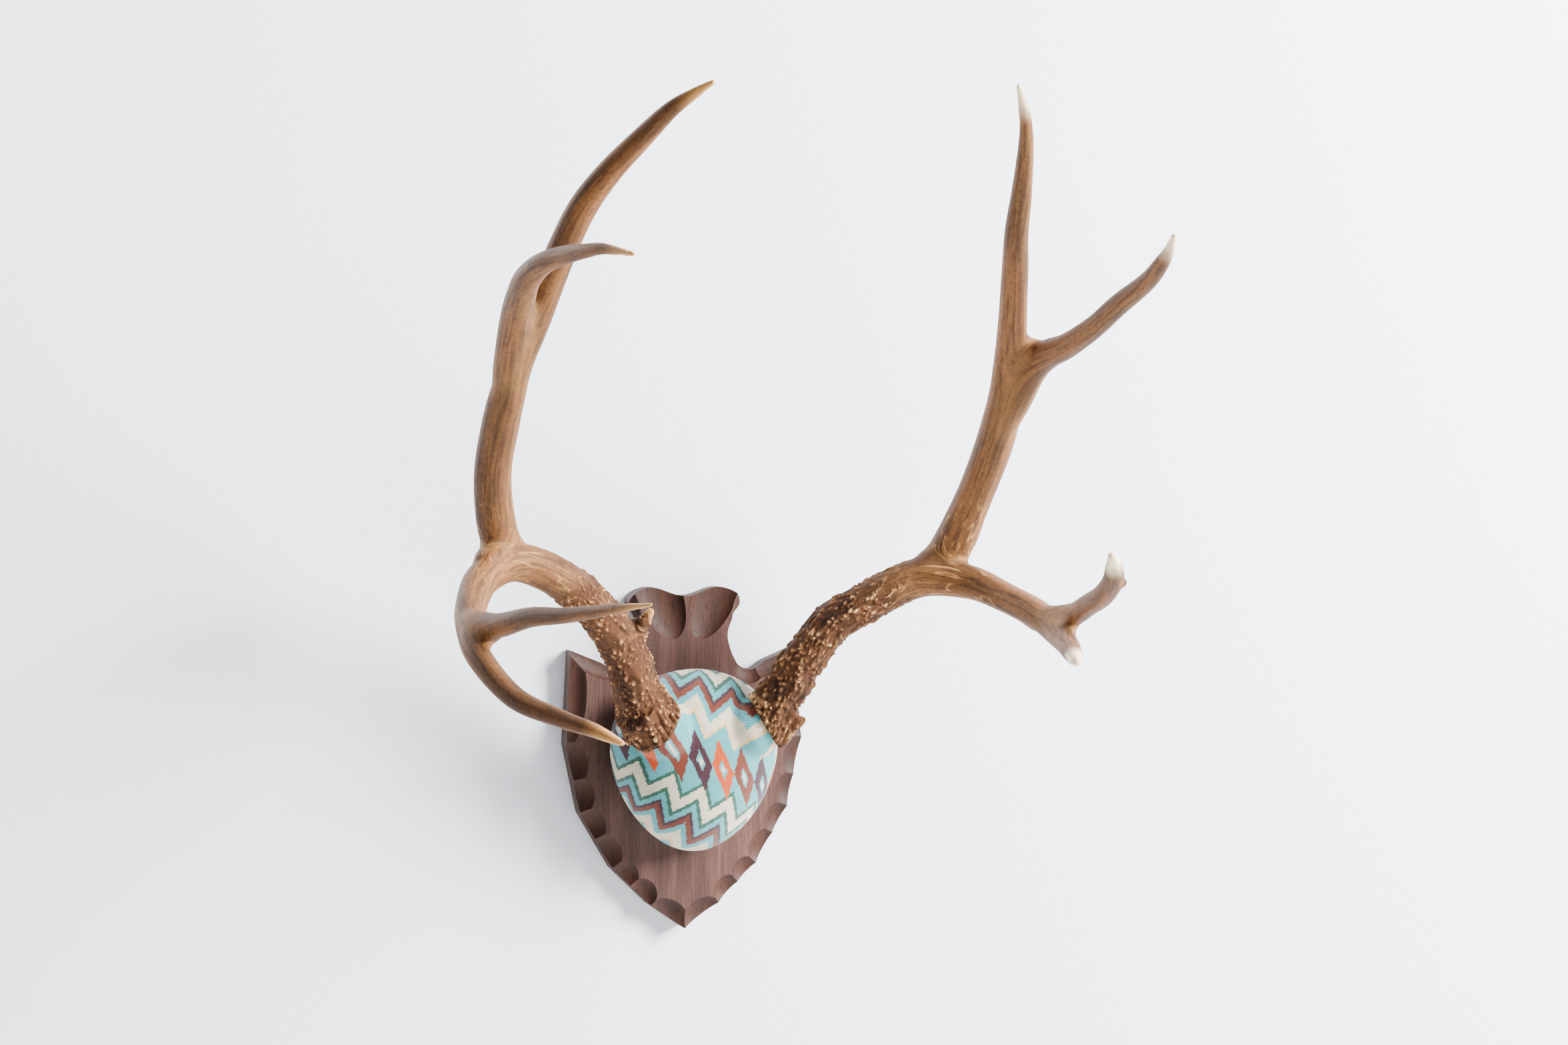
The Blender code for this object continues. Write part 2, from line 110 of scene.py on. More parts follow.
# The antlers' branches as drawn, in millimetres: outwards, forwards and up from the
# middle of the burr's seat, and the branch's radius there.
LEFT_BRANCHES = {
    "beam": ((-9, -3, -6, 17), (0, 2, 0, 17.5), (14, 7, 22, 16.5), (22, 14, 40, 16),
             (32, 21, 60, 15.5), (49, 32, 82, 15), (82, 45, 109, 14.3),
             (117, 56, 122, 14), (145, 78, 113, 12.4), (164, 123, 97, 11.2),
             (174, 168, 80, 10.2), (175, 203, 64, 8.7), (161, 240, 42, 7.3),
             (139, 273, 31, 6), (125, 293, 26, 5), (115, 306, 21, 3.5),
             (109, 314, 18, 1.9)),
    "back_tine": ((117, 54, 120, 14), (131, 60, 142, 14.2), (142, 88, 180, 13.2),
                  (144, 118, 216, 13.1), (143, 153, 251, 11.8), (138, 190, 285, 11),
                  (132, 224, 319, 10.3), (124, 255, 351, 9.6), (112, 278, 374, 8.6),
                  (95, 300, 396, 7.2), (83, 319, 411, 5.5), (72, 332, 420, 3.8),
                  (62, 345, 427, 1.9)),
    "front_tine": ((145, 127, 226, 10.5), (147, 153, 251, 11.2), (153, 203, 285, 10.6),
                   (157, 236, 300, 9.7), (159, 263, 309, 8.8), (157, 293, 316, 7.4),
                   (152, 321, 319, 6.4), (147, 353, 320, 5), (141, 378, 320, 3.8),
                   (131, 411, 315, 1.8)),
    "fork_tine": ((169, 142, 88, 9), (171, 166, 86, 9.8), (164, 200, 86, 8.5),
                  (153, 246, 94, 6.6), (141, 286, 97, 5.4), (130, 320, 101, 4.3),
                  (121, 352, 105, 3), (110, 377, 108, 1.8)),
    "brow_nub": ((27, 19, 56, 9), (26, 21, 63, 8.4), (21, 26, 71, 7.2),
                 (17, 32, 79, 5), (13, 37, 87, 2.6)),
    "elbow_web": ((126, 56, 130, 12.5), (134, 64, 126, 13.6), (145, 78, 119, 12.4)),
    "fork_web": ((168, 180, 82, 8.6), (163, 196, 80, 7)),
}
RIGHT_BRANCHES = {
    "beam": ((-9, -3, -6, 17), (0, 3, 2, 17.5), (8, 8, 19, 16.5), (17, 13, 31, 15.8),
             (25, 18, 47, 15.3), (42, 29, 73, 14.8), (59, 38, 86, 14.5),
             (80, 48, 99, 14.4), (104, 57, 109, 14.7), (131, 81, 106, 12.4),
             (144, 113, 97, 10.8), (153, 153, 86, 10.8), (154, 186, 76, 10.2),
             (142, 231, 70, 8.2), (128, 271, 67, 6.8), (118, 299, 65, 5.4),
             (113, 313, 64, 3)),
    "back_tine": ((103, 57, 110, 14), (122, 61, 128, 15.4), (129, 93, 169, 13.4),
                  (131, 127, 208, 13.7), (127, 155, 237, 13), (121, 178, 265, 11.8),
                  (112, 203, 291, 10.2), (100, 236, 326, 9.2), (92, 257, 347, 8.2),
                  (86, 279, 371, 7), (78, 304, 395, 5.6), (71, 321, 410, 4.6),
                  (64, 333, 421, 3.7), (54, 348, 434, 1.9)),
    "front_tine": ((131, 130, 205, 11.5), (131, 157, 232, 12.6), (134, 183, 258, 11.8),
                   (138, 203, 268, 10.4), (140, 231, 273, 9), (143, 269, 284, 8),
                   (145, 305, 298, 7.4), (147, 343, 311, 6.4), (145, 368, 321, 5.4),
                   (142, 386, 329, 3.8), (136, 405, 337, 1.9)),
    "fork_tine": ((152, 140, 88, 10), (156, 163, 83, 10.8), (158, 203, 88, 8.6),
                  (152, 243, 97, 7.8), (145, 281, 105, 7.6), (137, 315, 116, 7.3),
                  (126, 341, 127, 5.9), (115, 361, 136, 2.6)),
    "fork_knob": ((139, 315, 116, 5.4), (145, 320, 115, 2.4)),
    "elbow_web": ((124, 66, 118, 9.5), (128, 75, 122, 6.5)),
    "back_web": ((128, 182, 262, 10), (130, 194, 272, 8.6), (130, 201, 276, 6)),
    "fork_web": ((152, 205, 80, 8), (150, 216, 80, 5.6)),
}

# The blanket's weave in metres: the step of its threads, the width and steepness of its
# zigzags and how far they are shifted up. Its bands, from the middle upwards and round
# again from below, are a dye and a width in millimetres each.
THREAD_STEP = 0.0014
ZIGZAG_WIDTH = 0.034
ZIGZAG_STEEPNESS = 1.25
ZIGZAG_SHIFT = 0.011
BLANKET_BANDS = (
    ("ground", 32), ("tan", 5), ("cream", 13), ("ground", 8), ("rust", 7), ("plum", 5),
    ("ground", 8), ("green", 6), ("cream", 14), ("green", 6), ("ground", 28),
)
# A row of slanted lozenges runs across the middle: the width of one, how far it leans, the
# dyes in turn, and the half widths, half heights and dyes of what it holds.
LOZENGE_WIDTH = 0.0270
LOZENGE_LEAN = 0.62
LOZENGE_HEIGHT = 0.0280
LOZENGE_DYES = ("orange", "rust", "plum")
LOZENGE_HEARTS = ((0.0050, 0.0100, "ground"), (0.0026, 0.0052, "cream"))

# Which branch each one grows out of. The webs only fill the forks and carry no grain.
PARENTS = {"back_tine": "beam", "front_tine": "back_tine", "fork_tine": "beam",
           "brow_nub": "beam", "fork_knob": "fork_tine"}

# On the left (-1) and on the right (1): how far a burr turns to the front, in degrees, and
# how far out its seat lies, as a share of the cap's half width.
BURR_TURN = {-1: 30.0, 1: 18.0}
BURR_ACROSS = {-1: 0.60, 1: 0.68}
# The burr's flare, as heights over its seat and shares of its radius, and the rows of knobs
# round it: how many, how far out, and between which heights.
BURR_FLARE = ((-0.004, 0.90), (0.000, 0.93), (0.003, 0.92), (0.007, 0.86), (0.012, 0.80),
              (0.018, 0.755), (0.024, 0.72))
BURR_KNOBS = ((31, 0.905, 0.0008, 0.0052), (23, 0.84, 0.005, 0.0085))
# How far up the beam its mesh is refined and its pearls reach, and how often forks are
# rubbed down.
REFINED_REACH = 0.170
PEARL_REACH = 0.150
FORK_RUBS = 110
# Heights of the relief besides the pearls, in metres: ridges, winding welts, lumps on the
# bark and above it, broad swellings, and the furrows of the burr.
RIDGE_HEIGHT = 0.0013
WELT_HEIGHT = 0.00045
BARK_LUMPS, UPPER_LUMPS = 0.0009, 0.00025
SWELL_HEIGHT = 0.0006
FURROW_HEIGHT = 0.0017

# The photograph's viewpoint in metres and its yaw, pitch and roll in degrees.
PHOTO_PLACE = (-0.6425, -2.178, 0.2329)
PHOTO_TURN = (18.42, -1.32, 0.29)
# The lights: place, target, size, share of the window's strength, and colour. The last one
# shines through the wall on the backs of the pieces.
WARM, COOL = (1.0, 0.99, 0.98), (0.95, 0.97, 1.0)
LIGHTS = {
    "window": ((2.3, -1.9, 1.5), (0.0, -0.2, 0.1), (1.3, 1.7), 1.0, WARM),
    "sky": ((-1.2, -2.6, 2.4), (0.0, 0.0, 0.2), (2.0, 2.0), 0.02, COOL),
    "behind": ((-1.5, 2.6, 1.4), (0.0, 0.0, 0.1), (2.0, 2.0), 0.12, WARM),
}


def srgb(red, green, blue):
    """A colour given in 0 to 255 as seen, as Blender's linear values."""
    def linear(value):
        value /= 255
        return value / 12.92 if value <= 0.04045 else ((value + 0.055) / 1.055) ** 2.4
    return (linear(red), linear(green), linear(blue))


def length_prop(name, description, default):
    return bpy.props.FloatProperty(name=name, description=description, default=default,
                                   min=0.0, precision=4, unit="LENGTH")


def colour_prop(name, description, default):
    return bpy.props.FloatVectorProperty(name=name, description=description, size=3,
                                         default=default, min=0.0, max=1.0,
                                         subtype="COLOR")


class ShieldSettings(bpy.types.PropertyGroup):
    thickness: length_prop("Thickness", "Thickness of the walnut board", 0.019)
    height: length_prop("Height", "Height from the tip to the top edge", 0.256)
    width: length_prop("Width", "Width between the barbs", 0.184)
    scoop_depth: length_prop("Scoop depth", "How deep the gouge cuts go", 0.0062)
    scoop_reach: length_prop("Scoop reach", "How far a cut reaches in from the edge", 0.0130)
    scoop_lift: length_prop("Scoop lift", "Height of a cut's middle over the face", 0.0020)
    face_colour: colour_prop("Face", "Sanded face of the walnut", srgb(78, 54, 48))
    # The cuts' colour is far darker than the face's: this is painted shade for the hollows of
    # the scoops.
    shaded_scoop_colour: colour_prop("Scoops", "Oiled walnut inside the cuts", srgb(54, 28, 17))
    back_colour: colour_prop("Back", "Bare walnut of the back", srgb(134, 104, 84))


class CapSettings(bpy.types.PropertyGroup):
    width: length_prop("Width", "Width of the covered cap", 0.126)
    height: length_prop("Height", "Height of the covered cap", 0.136)
    bulge: length_prop("Bulge", "How far the cap bulges to the front", 0.045)
    standoff: length_prop("Standoff", "Distance of its middle from the shield", 0.020)
    centre_up: length_prop("Centre", "Height of its middle over the origin", 0.004)
    taper: bpy.props.FloatProperty(name="Taper", description="How much wider its top is",
                                   default=0.17, min=0.0, max=0.5, subtype="FACTOR")
    stub: length_prop("Stub", "Diameter of the stubs that carry the burrs", 0.041)
    ground: colour_prop("Ground", "Main colour of the blanket", srgb(74, 148, 154))
    orange: colour_prop("Orange", "Brightest figures of the blanket", srgb(178, 64, 5))
    rust: colour_prop("Rust", "Red-brown figures of the blanket", srgb(100, 40, 22))
    plum: colour_prop("Plum", "Dark purple figures of the blanket", srgb(54, 24, 34))
    green: colour_prop("Green", "Dark green figures of the blanket", srgb(36, 80, 66))
    cream: colour_prop("Cream", "Undyed wool of the blanket", srgb(200, 190, 168))
    tan: colour_prop("Tan", "Sand coloured wool of the blanket", srgb(214, 174, 124))


class AntlerSettings(bpy.types.PropertyGroup):
    rise: length_prop("Rise", "Height of the taller antler over its burr", 0.434)
    beam: length_prop("Beam", "Diameter of the beam over the burr", 0.035)
    burr: length_prop("Burr", "Diameter of the burr with its knobs", 0.047)
    burr_up: bpy.props.FloatProperty(name="Burr height", min=0.0, max=1.0, default=0.42,
                                     description="Share of the cap's half height",
                                     subtype="FACTOR")
    burr_proud: length_prop("Burr proud", "How far the seat stands off the cap", 0.0025)
    burr_lift: bpy.props.FloatProperty(name="Burr lift", default=math.radians(31.0),
                                       description="How steeply the beam leaves the cap",
                                       subtype="ANGLE")
    grid: length_prop("Grid", "Size of the modelling grid", 0.00115)
    pearls: bpy.props.IntProperty(name="Pearls", default=760, min=0,
                                  description="Number of pearls on each lower beam")
    pearl_height: length_prop("Pearl height", "Height of the largest pearls", 0.0028)
    bark: colour_prop("Bark", "Dark brown of the lower beam", srgb(68, 42, 27))
    crevice: colour_prop("Crevice", "Darkest brown between the pearls", srgb(30, 18, 12))
    golden: colour_prop("Golden", "Rubbed brown of the trunk", srgb(124, 82, 46))
    streak: colour_prop("Streak", "Dark streaks along the grain", srgb(44, 29, 19))
    ivory: colour_prop("Ivory", "Polished tips", srgb(226, 204, 168))


class StageSettings(bpy.types.PropertyGroup):
    wall_colour: colour_prop("Wall", "Painted wall behind the mount", srgb(224, 229, 238))
    floor_colour: colour_prop("Floor", "Pale floor", srgb(222, 222, 220))
    window: bpy.props.FloatProperty(name="Window", default=860.0, min=0.0,
                                    description="Strength of the light from the right")
    fill: bpy.props.FloatProperty(name="Fill", default=0.05, min=0.0,
                                  description="Strength of the even light from all round")
    lens: bpy.props.FloatProperty(name="Lens", default=68.88, min=1.0, unit="CAMERA",
                                  description="Focal length for the photograph's view")


SETTINGS = (("trophy_shield", ShieldSettings), ("trophy_cap", CapSettings),
            ("trophy_antler", AntlerSettings), ("trophy_stage", StageSettings))


# Small steps that every piece uses.

def pick(*things):
    """Select only these objects, the first one active."""
    if bpy.context.mode != "OBJECT":
        bpy.ops.object.mode_set(mode="OBJECT")
    bpy.ops.object.select_all(action="DESELECT")
    for thing in things:
        thing.select_set(True)
    bpy.context.view_layer.objects.active = things[0]


def new_object(name, data):
    made = bpy.data.objects.new(name, data)
    bpy.context.scene.collection.objects.link(made)
    return made


def apply_modifiers(thing):
    pick(thing)
    for modifier in [item.name for item in thing.modifiers]:
        bpy.ops.object.modifier_apply(modifier=modifier)


def settle(thing):
    """Move the object's place, turn and scale into its mesh."""
    pick(thing)
    bpy.ops.object.transform_apply(location=True, rotation=True, scale=True)


def discard(*things):
    for thing in things:
        bpy.data.objects.remove(thing, do_unlink=True)


def join(things, name):
    pick(*things)
    bpy.ops.object.join()
    made = bpy.context.object
    made.name = name
    made.data.name = name
    return made


def remesh(thing, grid, passes):
    """Merge overlapping shells on a grid and soften what it leaves."""
    merge = thing.modifiers.new("merge", "REMESH")
    merge.mode = "VOXEL"
    merge.voxel_size = grid
    soften = thing.modifiers.new("soften", "SMOOTH")
    soften.factor = 0.5
    soften.iterations = passes
    apply_modifiers(thing)


def cut(thing, cutter, name):
    modifier = thing.modifiers.new(name, "BOOLEAN")
    modifier.operation = "DIFFERENCE"
    modifier.solver = "EXACT"
    modifier.object = cutter
    apply_modifiers(thing)
    discard(cutter)


def thin_out(thing, most):
    """Bring a piece down to a number of triangles, first where it is flattest."""
    count = sum(len(face.vertices) - 2 for face in thing.data.polygons)
    if count > most:
        thinning = thing.modifiers.new("thinning", "DECIMATE")
        thinning.ratio = most / count
        apply_modifiers(thing)


def finish_piece(thing, node):
    """The piece rides on the body and stands for its CAD node, which it hides."""
    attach(thing, "root")
    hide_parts(node)


def point_values(mesh, kind="co"):
    values = np.empty(len(mesh.vertices) * 3, np.float32)
    if kind == "co":
        mesh.vertices.foreach_get("co", values)
    else:
        mesh.vertex_normals.foreach_get("vector", values)
    return values.reshape(-1, 3).astype(float)


def set_points(mesh, places):
    mesh.vertices.foreach_set("co", places.astype(np.float32).ravel())
    mesh.update()


def add_attribute(mesh, name, kind, values):
    layer = mesh.attributes.new(name, kind, "POINT")
    field = "vector" if kind == "FLOAT_VECTOR" else "value"
    layer.data.foreach_set(field, np.ascontiguousarray(values, np.float32).ravel())


def smoothstep(low, high, values):
    share = np.clip((values - low) / (high - low), 0.0, 1.0)
    return share * share * (3 - 2 * share)


def noise_at(places, scale):
    """Smooth noise at many places, stretched by a scale for each axis."""
    scaled = places * np.array(scale)
    return np.array([noise.noise(Vector(place)) for place in scaled])


# Small steps for materials.

def wire(tree, node, inputs):
    """Set or link a node's inputs by name or number."""
    for key, value in inputs.items():
        socket = node.inputs[key]
        if isinstance(value, bpy.types.NodeSocket):
            tree.links.new(value, socket)
        elif isinstance(value, tuple) and len(value) == 3 and socket.type == "RGBA":
            socket.default_value = (*value, 1.0)
        else:
            socket.default_value = value


def put(tree, kind, inputs=None, **settings):
    """Add a node, set it up and return its first output."""
    node = tree.nodes.new("ShaderNode" + kind)
    for name, value in settings.items():
        setattr(node, name, value)
    wire(tree, node, inputs or {})
    return node.outputs[0]


def maths(tree, operation, first, second=0.0, third=0.0, clamp=False):
    inputs = {0: first, 1: second}
    if operation in ("MULTIPLY_ADD", "COMPARE", "WRAP", "SMOOTH_MIN"):
        inputs[2] = third
    return put(tree, "Math", inputs, operation=operation, use_clamp=clamp)


def spread(tree, value, low, high, to_low=0.0, to_high=1.0):
    """Take a value's range to another range, with soft ends."""
    return put(tree, "MapRange", {0: value, 1: low, 2: high, 3: to_low, 4: to_high},
               interpolation_type="SMOOTHSTEP")


def blend_colour(tree, share, first, second, mode="MIX"):
    node = tree.nodes.new("ShaderNodeMix")
    node.data_type = "RGBA"
    node.blend_type = mode
    wire(tree, node, {0: share, 6: first, 7: second})
    return node.outputs[2]


def toned(tree, colour, tone):
    """A colour made darker or paler by a value."""
    tones = put(tree, "CombineColor", {0: tone, 1: tone, 2: tone})
    return blend_colour(tree, 1.0, colour, tones, "MULTIPLY")


def noise_value(tree, vector, scale=1.0, detail=3.0, roughness=0.5, distortion=0.0):
    return put(tree, "TexNoise", {"Vector": vector, "Scale": scale, "Detail": detail,
                                  "Roughness": roughness, "Distortion": distortion})


def coats(tree, colour, *layers):
    """A colour with others laid over it in turn, each through its own mask."""
    for mask, shade in layers:
        colour = blend_colour(tree, mask, colour, shade)
    return colour


def separate(tree, vector):
    node = tree.nodes.new("ShaderNodeSeparateXYZ")
    wire(tree, node, {0: vector})
    return node.outputs


def new_material(name, **values):
    made = bpy.data.materials.new(name)
    made.use_nodes = True
    shader = made.node_tree.nodes["Principled BSDF"]
    for socket, value in values.items():
        shader.inputs[socket.replace("_", " ")].default_value = value
    return made, made.node_tree, shader


def bump(tree, shader, height, strength, distance):
    wire(tree, shader, {"Normal": put(tree, "Bump", {"Height": height,
                                                     "Strength": strength,
                                                     "Distance": distance})})


def new_group(name, inputs, outputs):
    """A shader node group with named sockets, and its two ends."""
    group = bpy.data.node_groups.new(name, "ShaderNodeTree")
    for label, kind, default in inputs:
        socket = group.interface.new_socket(label, in_out="INPUT", socket_type=kind)
        if default is not None:
            socket.default_value = default
    for label, kind in outputs:
        group.interface.new_socket(label, in_out="OUTPUT", socket_type=kind)
    start = group.nodes.new("NodeGroupInput")
    end = group.nodes.new("NodeGroupOutput")
    return group, start.outputs, end


def use_group(tree, group, inputs):
    node = tree.nodes.new("ShaderNodeGroup")
    node.node_tree = group
    wire(tree, node, inputs)
    return node.outputs


def fibre_group():
    """Long fibres along the third axis of a vector: broad bands, fine lines and pores."""
    group = bpy.data.node_groups.get("fibres")
    if group:
        return group
    group, given, end = new_group(
        "fibres",
        (("Vector", "NodeSocketVector", None), ("Broad", "NodeSocketFloat", 60.0),
         ("Fine", "NodeSocketFloat", 500.0), ("Length", "NodeSocketFloat", 20.0)),
        (("Bands", "NodeSocketFloat"), ("Lines", "NodeSocketFloat"),
         ("Pores", "NodeSocketFloat")))
    results = {}
    for label, width, share, detail in (("Bands", "Broad", 0.35, 3.0),
                                        ("Lines", "Fine", 1.0, 4.0),
                                        ("Pores", "Fine", 6.0, 2.0)):
        along = maths(group, "MULTIPLY", given["Length"], share)
        across = given[width]
        if label == "Pores":
            across = maths(group, "MULTIPLY", across, 1.7)
        scale = put(group, "CombineXYZ", {0: across, 1: across, 2: along})
        place = put(group, "VectorMath", {0: given["Vector"], 1: scale},
                    operation="MULTIPLY")
        results[label] = noise_value(group, place, 1.0, detail, 0.55)
    wire(group, end, results)
    return group


# The shield.

def walnut_material(name, colour, roughness):
    """Walnut with vertical grain, glued strips and dark pores."""
    made, tree, shader = new_material(name, Specular_IOR_Level=0.26)
    place = put(tree, "TexCoord").node.outputs["Object"]
    parts = use_group(tree, fibre_group(), {"Vector": place, "Broad": 90.0, "Fine": 780.0,
                                            "Length": 22.0})
    dark = tuple(value * 0.50 for value in colour)
    light = tuple(min(1.0, value * 1.42) for value in colour)
    base = coats(tree, dark, (spread(tree, parts["Bands"], 0.36, 0.64), light),
                 (0.55, colour))
    lines = spread(tree, parts["Lines"], 0.40, 0.60, 0.82, 1.12)
    base = toned(tree, base, lines)
    across = separate(tree, place)["X"]
    for seam, tone in BOARD_SEAMS:
        side = maths(tree, "GREATER_THAN", across, seam)
        base = blend_colour(tree, side, base, blend_colour(tree, 1.0, base, tone,
                                                           "MULTIPLY"))
    pores = spread(tree, parts["Pores"], 0.60, 0.68)
    base = blend_colour(tree, maths(tree, "MULTIPLY", pores, 0.75), base,
                        tuple(value * 0.30 for value in colour))
    rough = maths(tree, "MULTIPLY_ADD", pores, 0.25, roughness)
    wire(tree, shader, {"Base Color": base, "Roughness": rough})
    bump(tree, shader, maths(tree, "SUBTRACT", parts["Lines"], pores), 0.25, 0.0004)
    return made


def outline_points(settings):
    mirrored = [(-x, y, kind) for x, y, kind in reversed(OUTLINE[1:-1])]
    return [(Vector((x * settings.width / 2, 0.0, y * settings.height)), kind)
            for x, y, kind in list(OUTLINE) + mirrored]


def shield_blank(settings):
    """The board sawn to its outline, before any carving."""
    data = bpy.data.curves.new("shield", "CURVE")
    data.dimensions = "2D"
    data.fill_mode = "BOTH"
    data.extrude = settings.thickness / 2
    data.resolution_u = 22
    spline = data.splines.new("BEZIER")
    points = outline_points(settings)
    spline.bezier_points.add(len(points) - 1)
    spline.use_cyclic_u = True
    for knot, (place, kind) in zip(spline.bezier_points, points):
        knot.co = (place.x, place.z, 0.0)
        knot.handle_left_type = knot.handle_right_type = (
            "AUTO" if kind == "curve" else "VECTOR")
    board = new_object("shield", data)
    board.location.y = -settings.thickness / 2
    board.rotation_euler.x = math.pi / 2
    pick(board)
    bpy.ops.object.convert(target="MESH")
    settle(board)
    pick(board)
    bpy.ops.object.mode_set(mode="EDIT")
    bpy.ops.mesh.select_all(action="SELECT")
    bpy.ops.mesh.remove_doubles(threshold=0.00001)
    bpy.ops.mesh.dissolve_limited(angle_limit=math.radians(0.5))
    bpy.ops.mesh.normals_make_consistent(inside=False)
    bpy.ops.object.mode_set(mode="OBJECT")
    return board


def gouge(settings, centre, half_width, half_length, lean):
    """One cut of the gouge, as a long egg sunk into the front face."""
    depth = settings.scoop_depth + settings.scoop_lift
    bpy.ops.mesh.primitive_uv_sphere_add(
        segments=72, ring_count=36, radius=1.0, rotation=(0.0, lean, 0.0),
        location=(centre.x, -settings.thickness - settings.scoop_lift, centre.z),
        scale=(half_width, depth, half_length))
    return bpy.context.object


def carve_shield(settings):
    board = shield_blank(settings)
    bpy.ops.object.select_all(action="DESELECT")
    depth = settings.scoop_depth + settings.scoop_lift
    narrowing = math.sqrt(1 - (settings.scoop_lift / depth) ** 2)
    cuts = []
    for side in (-1, 1):
        for start, end, share, half in EDGE_SCOOPS:
            first, last = (Vector((side * OUTLINE[index][0] * settings.width / 2, 0.0,
                                   OUTLINE[index][1] * settings.height))
                           for index in (start, end))
            along = last - first
            cuts.append(gouge(settings, first.lerp(last, share),
                              settings.scoop_reach / narrowing,
                              along.length * half / narrowing,
                              math.atan2(along.x, along.z)))
        for across, up, half_width, half_length, lean in OPEN_SCOOPS:
            centre = Vector((side * across * settings.width / 2, 0.0,
                             up * settings.height))
            cuts.append(gouge(settings, centre, half_width * settings.width / 2,
                              half_length * settings.height, math.radians(lean * side)))
    tools = bpy.data.collections.new("gouge_cuts")
    bpy.context.scene.collection.children.link(tools)
    for tool in cuts:
        settle(tool)
        for owner in list(tool.users_collection):
            owner.objects.unlink(tool)
        tools.objects.link(tool)
    carving = board.modifiers.new("carving", "BOOLEAN")
    carving.operation = "DIFFERENCE"
    carving.solver = "EXACT"
    carving.operand_type = "COLLECTION"
    carving.collection = tools
    apply_modifiers(board)
    discard(*cuts)
    bpy.data.collections.remove(tools)
    return board


def dress_shield(board, settings):
    mesh = board.data
    mesh.materials.clear()
    # The cuts get the darker walnut, which paints the shade that falls in the hollows.
    for name, colour, roughness in (("walnut_face", settings.face_colour, 0.42),
                                    ("walnut_carved_shaded", settings.shaded_scoop_colour, 0.62),
                                    ("walnut_bare", settings.back_colour, 0.66)):
        mesh.materials.append(walnut_material(name, tuple(colour), roughness))
    front = -settings.thickness + 0.0001
    for face in mesh.polygons:
        uncut = face.normal.y < -0.999 and face.center.y < front
        face.material_index = 2 if face.normal.y > 0.999 else 0 if uncut else 1
    pick(board)
    bpy.ops.object.shade_smooth_by_angle(angle=math.radians(24.0))


# The skull cap and its blanket.

def cap_centre(cap, shield):
    return Vector((0.0, -shield.thickness - cap.standoff, cap.centre_up))


def burr_direction(side, antler):
    turn = math.radians(BURR_TURN[side])
    flat = math.cos(antler.burr_lift)
    return Vector((side * flat * math.cos(turn), -flat * math.sin(turn),
                   math.sin(antler.burr_lift)))


def burr_seat(side, cap, shield, antler):
    """Middle of the flat seat that a burr stands on."""
    across = BURR_ACROSS[side]
    up = antler.burr_up
    girth = math.sqrt(1 - up ** 2) * (1 + cap.taper * up)
    depth = cap.bulge * math.sqrt(1 - up ** 2) * math.sqrt(1 - (across / girth) ** 2)
    seat = cap_centre(cap, shield) + Vector((side * across * cap.width / 2, -depth,
                                             up * cap.height / 2))
    return seat + burr_direction(side, antler) * antler.burr_proud


def turned(direction):
    return direction.to_track_quat("Z", "Y").to_euler()


def shape_cap(cap, shield, antler):
    centre = cap_centre(cap, shield)
    bpy.ops.mesh.primitive_uv_sphere_add(segments=CAP_SIDES, ring_count=64, radius=1.0)
    dome = bpy.context.object
    places = point_values(dome.data)
    girth = 1 + cap.taper * places[:, 2]
    places[:, 0] *= girth * cap.width / 2
    places[:, 1] *= cap.bulge
    places[:, 2] *= cap.height / 2
    set_points(dome.data, places + np.array(centre))
    parts = [dome]
    stub = cap.stub / 2
    for side in (-1, 1):
        direction = burr_direction(side, antler)
        seat = burr_seat(side, cap, shield, antler)
        parts.append(tube("stub", [(*centre.lerp(seat, 0.40), stub * 1.20),
                                   (*(seat - direction * stub * 0.40), stub * 1.10),
                                   (*(seat + direction * stub * 0.10), stub)]))
    dome = join(parts, "covered_cap")
    remesh(dome, 0.0011, 26)
    reach = cap.width + cap.height
    face = -shield.thickness - SEAT_GAP
    bpy.ops.mesh.primitive_cube_add(size=reach, location=(0.0, face + reach / 2, 0.0))
    settle(bpy.context.object)
    cut(dome, bpy.context.object, "flat_back")
    for side in (-1, 1):
        direction = burr_direction(side, antler)
        place = burr_seat(side, cap, shield, antler) + direction * cap.width / 2
        bpy.ops.mesh.primitive_cylinder_add(
            vertices=CAP_SIDES, radius=antler.burr / 2 + POCKET_CLEARANCE, depth=cap.width,
            location=place, rotation=turned(direction))
        settle(bpy.context.object)
        cut(dome, bpy.context.object, "pocket")
    return dome


def lay_blanket(dome, cap, shield):
    """A UV map that runs over the dome from its front like a stretched cloth."""
    mesh = dome.data
    centre = cap_centre(cap, shield)
    places = point_values(mesh) - np.array(centre)
    radius = np.linalg.norm(places, axis=1)
    angle = np.arccos(np.clip(-places[:, 1] / radius, -1, 1))
    flat = np.hypot(places[:, 0], places[:, 2])
    flat[flat < 1e-6] = 1e-6
    mean = (cap.width + cap.height) / 4
    length = angle * mean
    across = places[:, 0] / flat * length
    up = places[:, 2] / flat * length
    loops = np.empty(len(mesh.loops), np.int32)
    mesh.loops.foreach_get("vertex_index", loops)
    layer = mesh.uv_layers.new(name="blanket")
    pairs = np.stack((across[loops], up[loops]), axis=1)
    layer.data.foreach_set("uv", pairs.astype(np.float32).ravel())


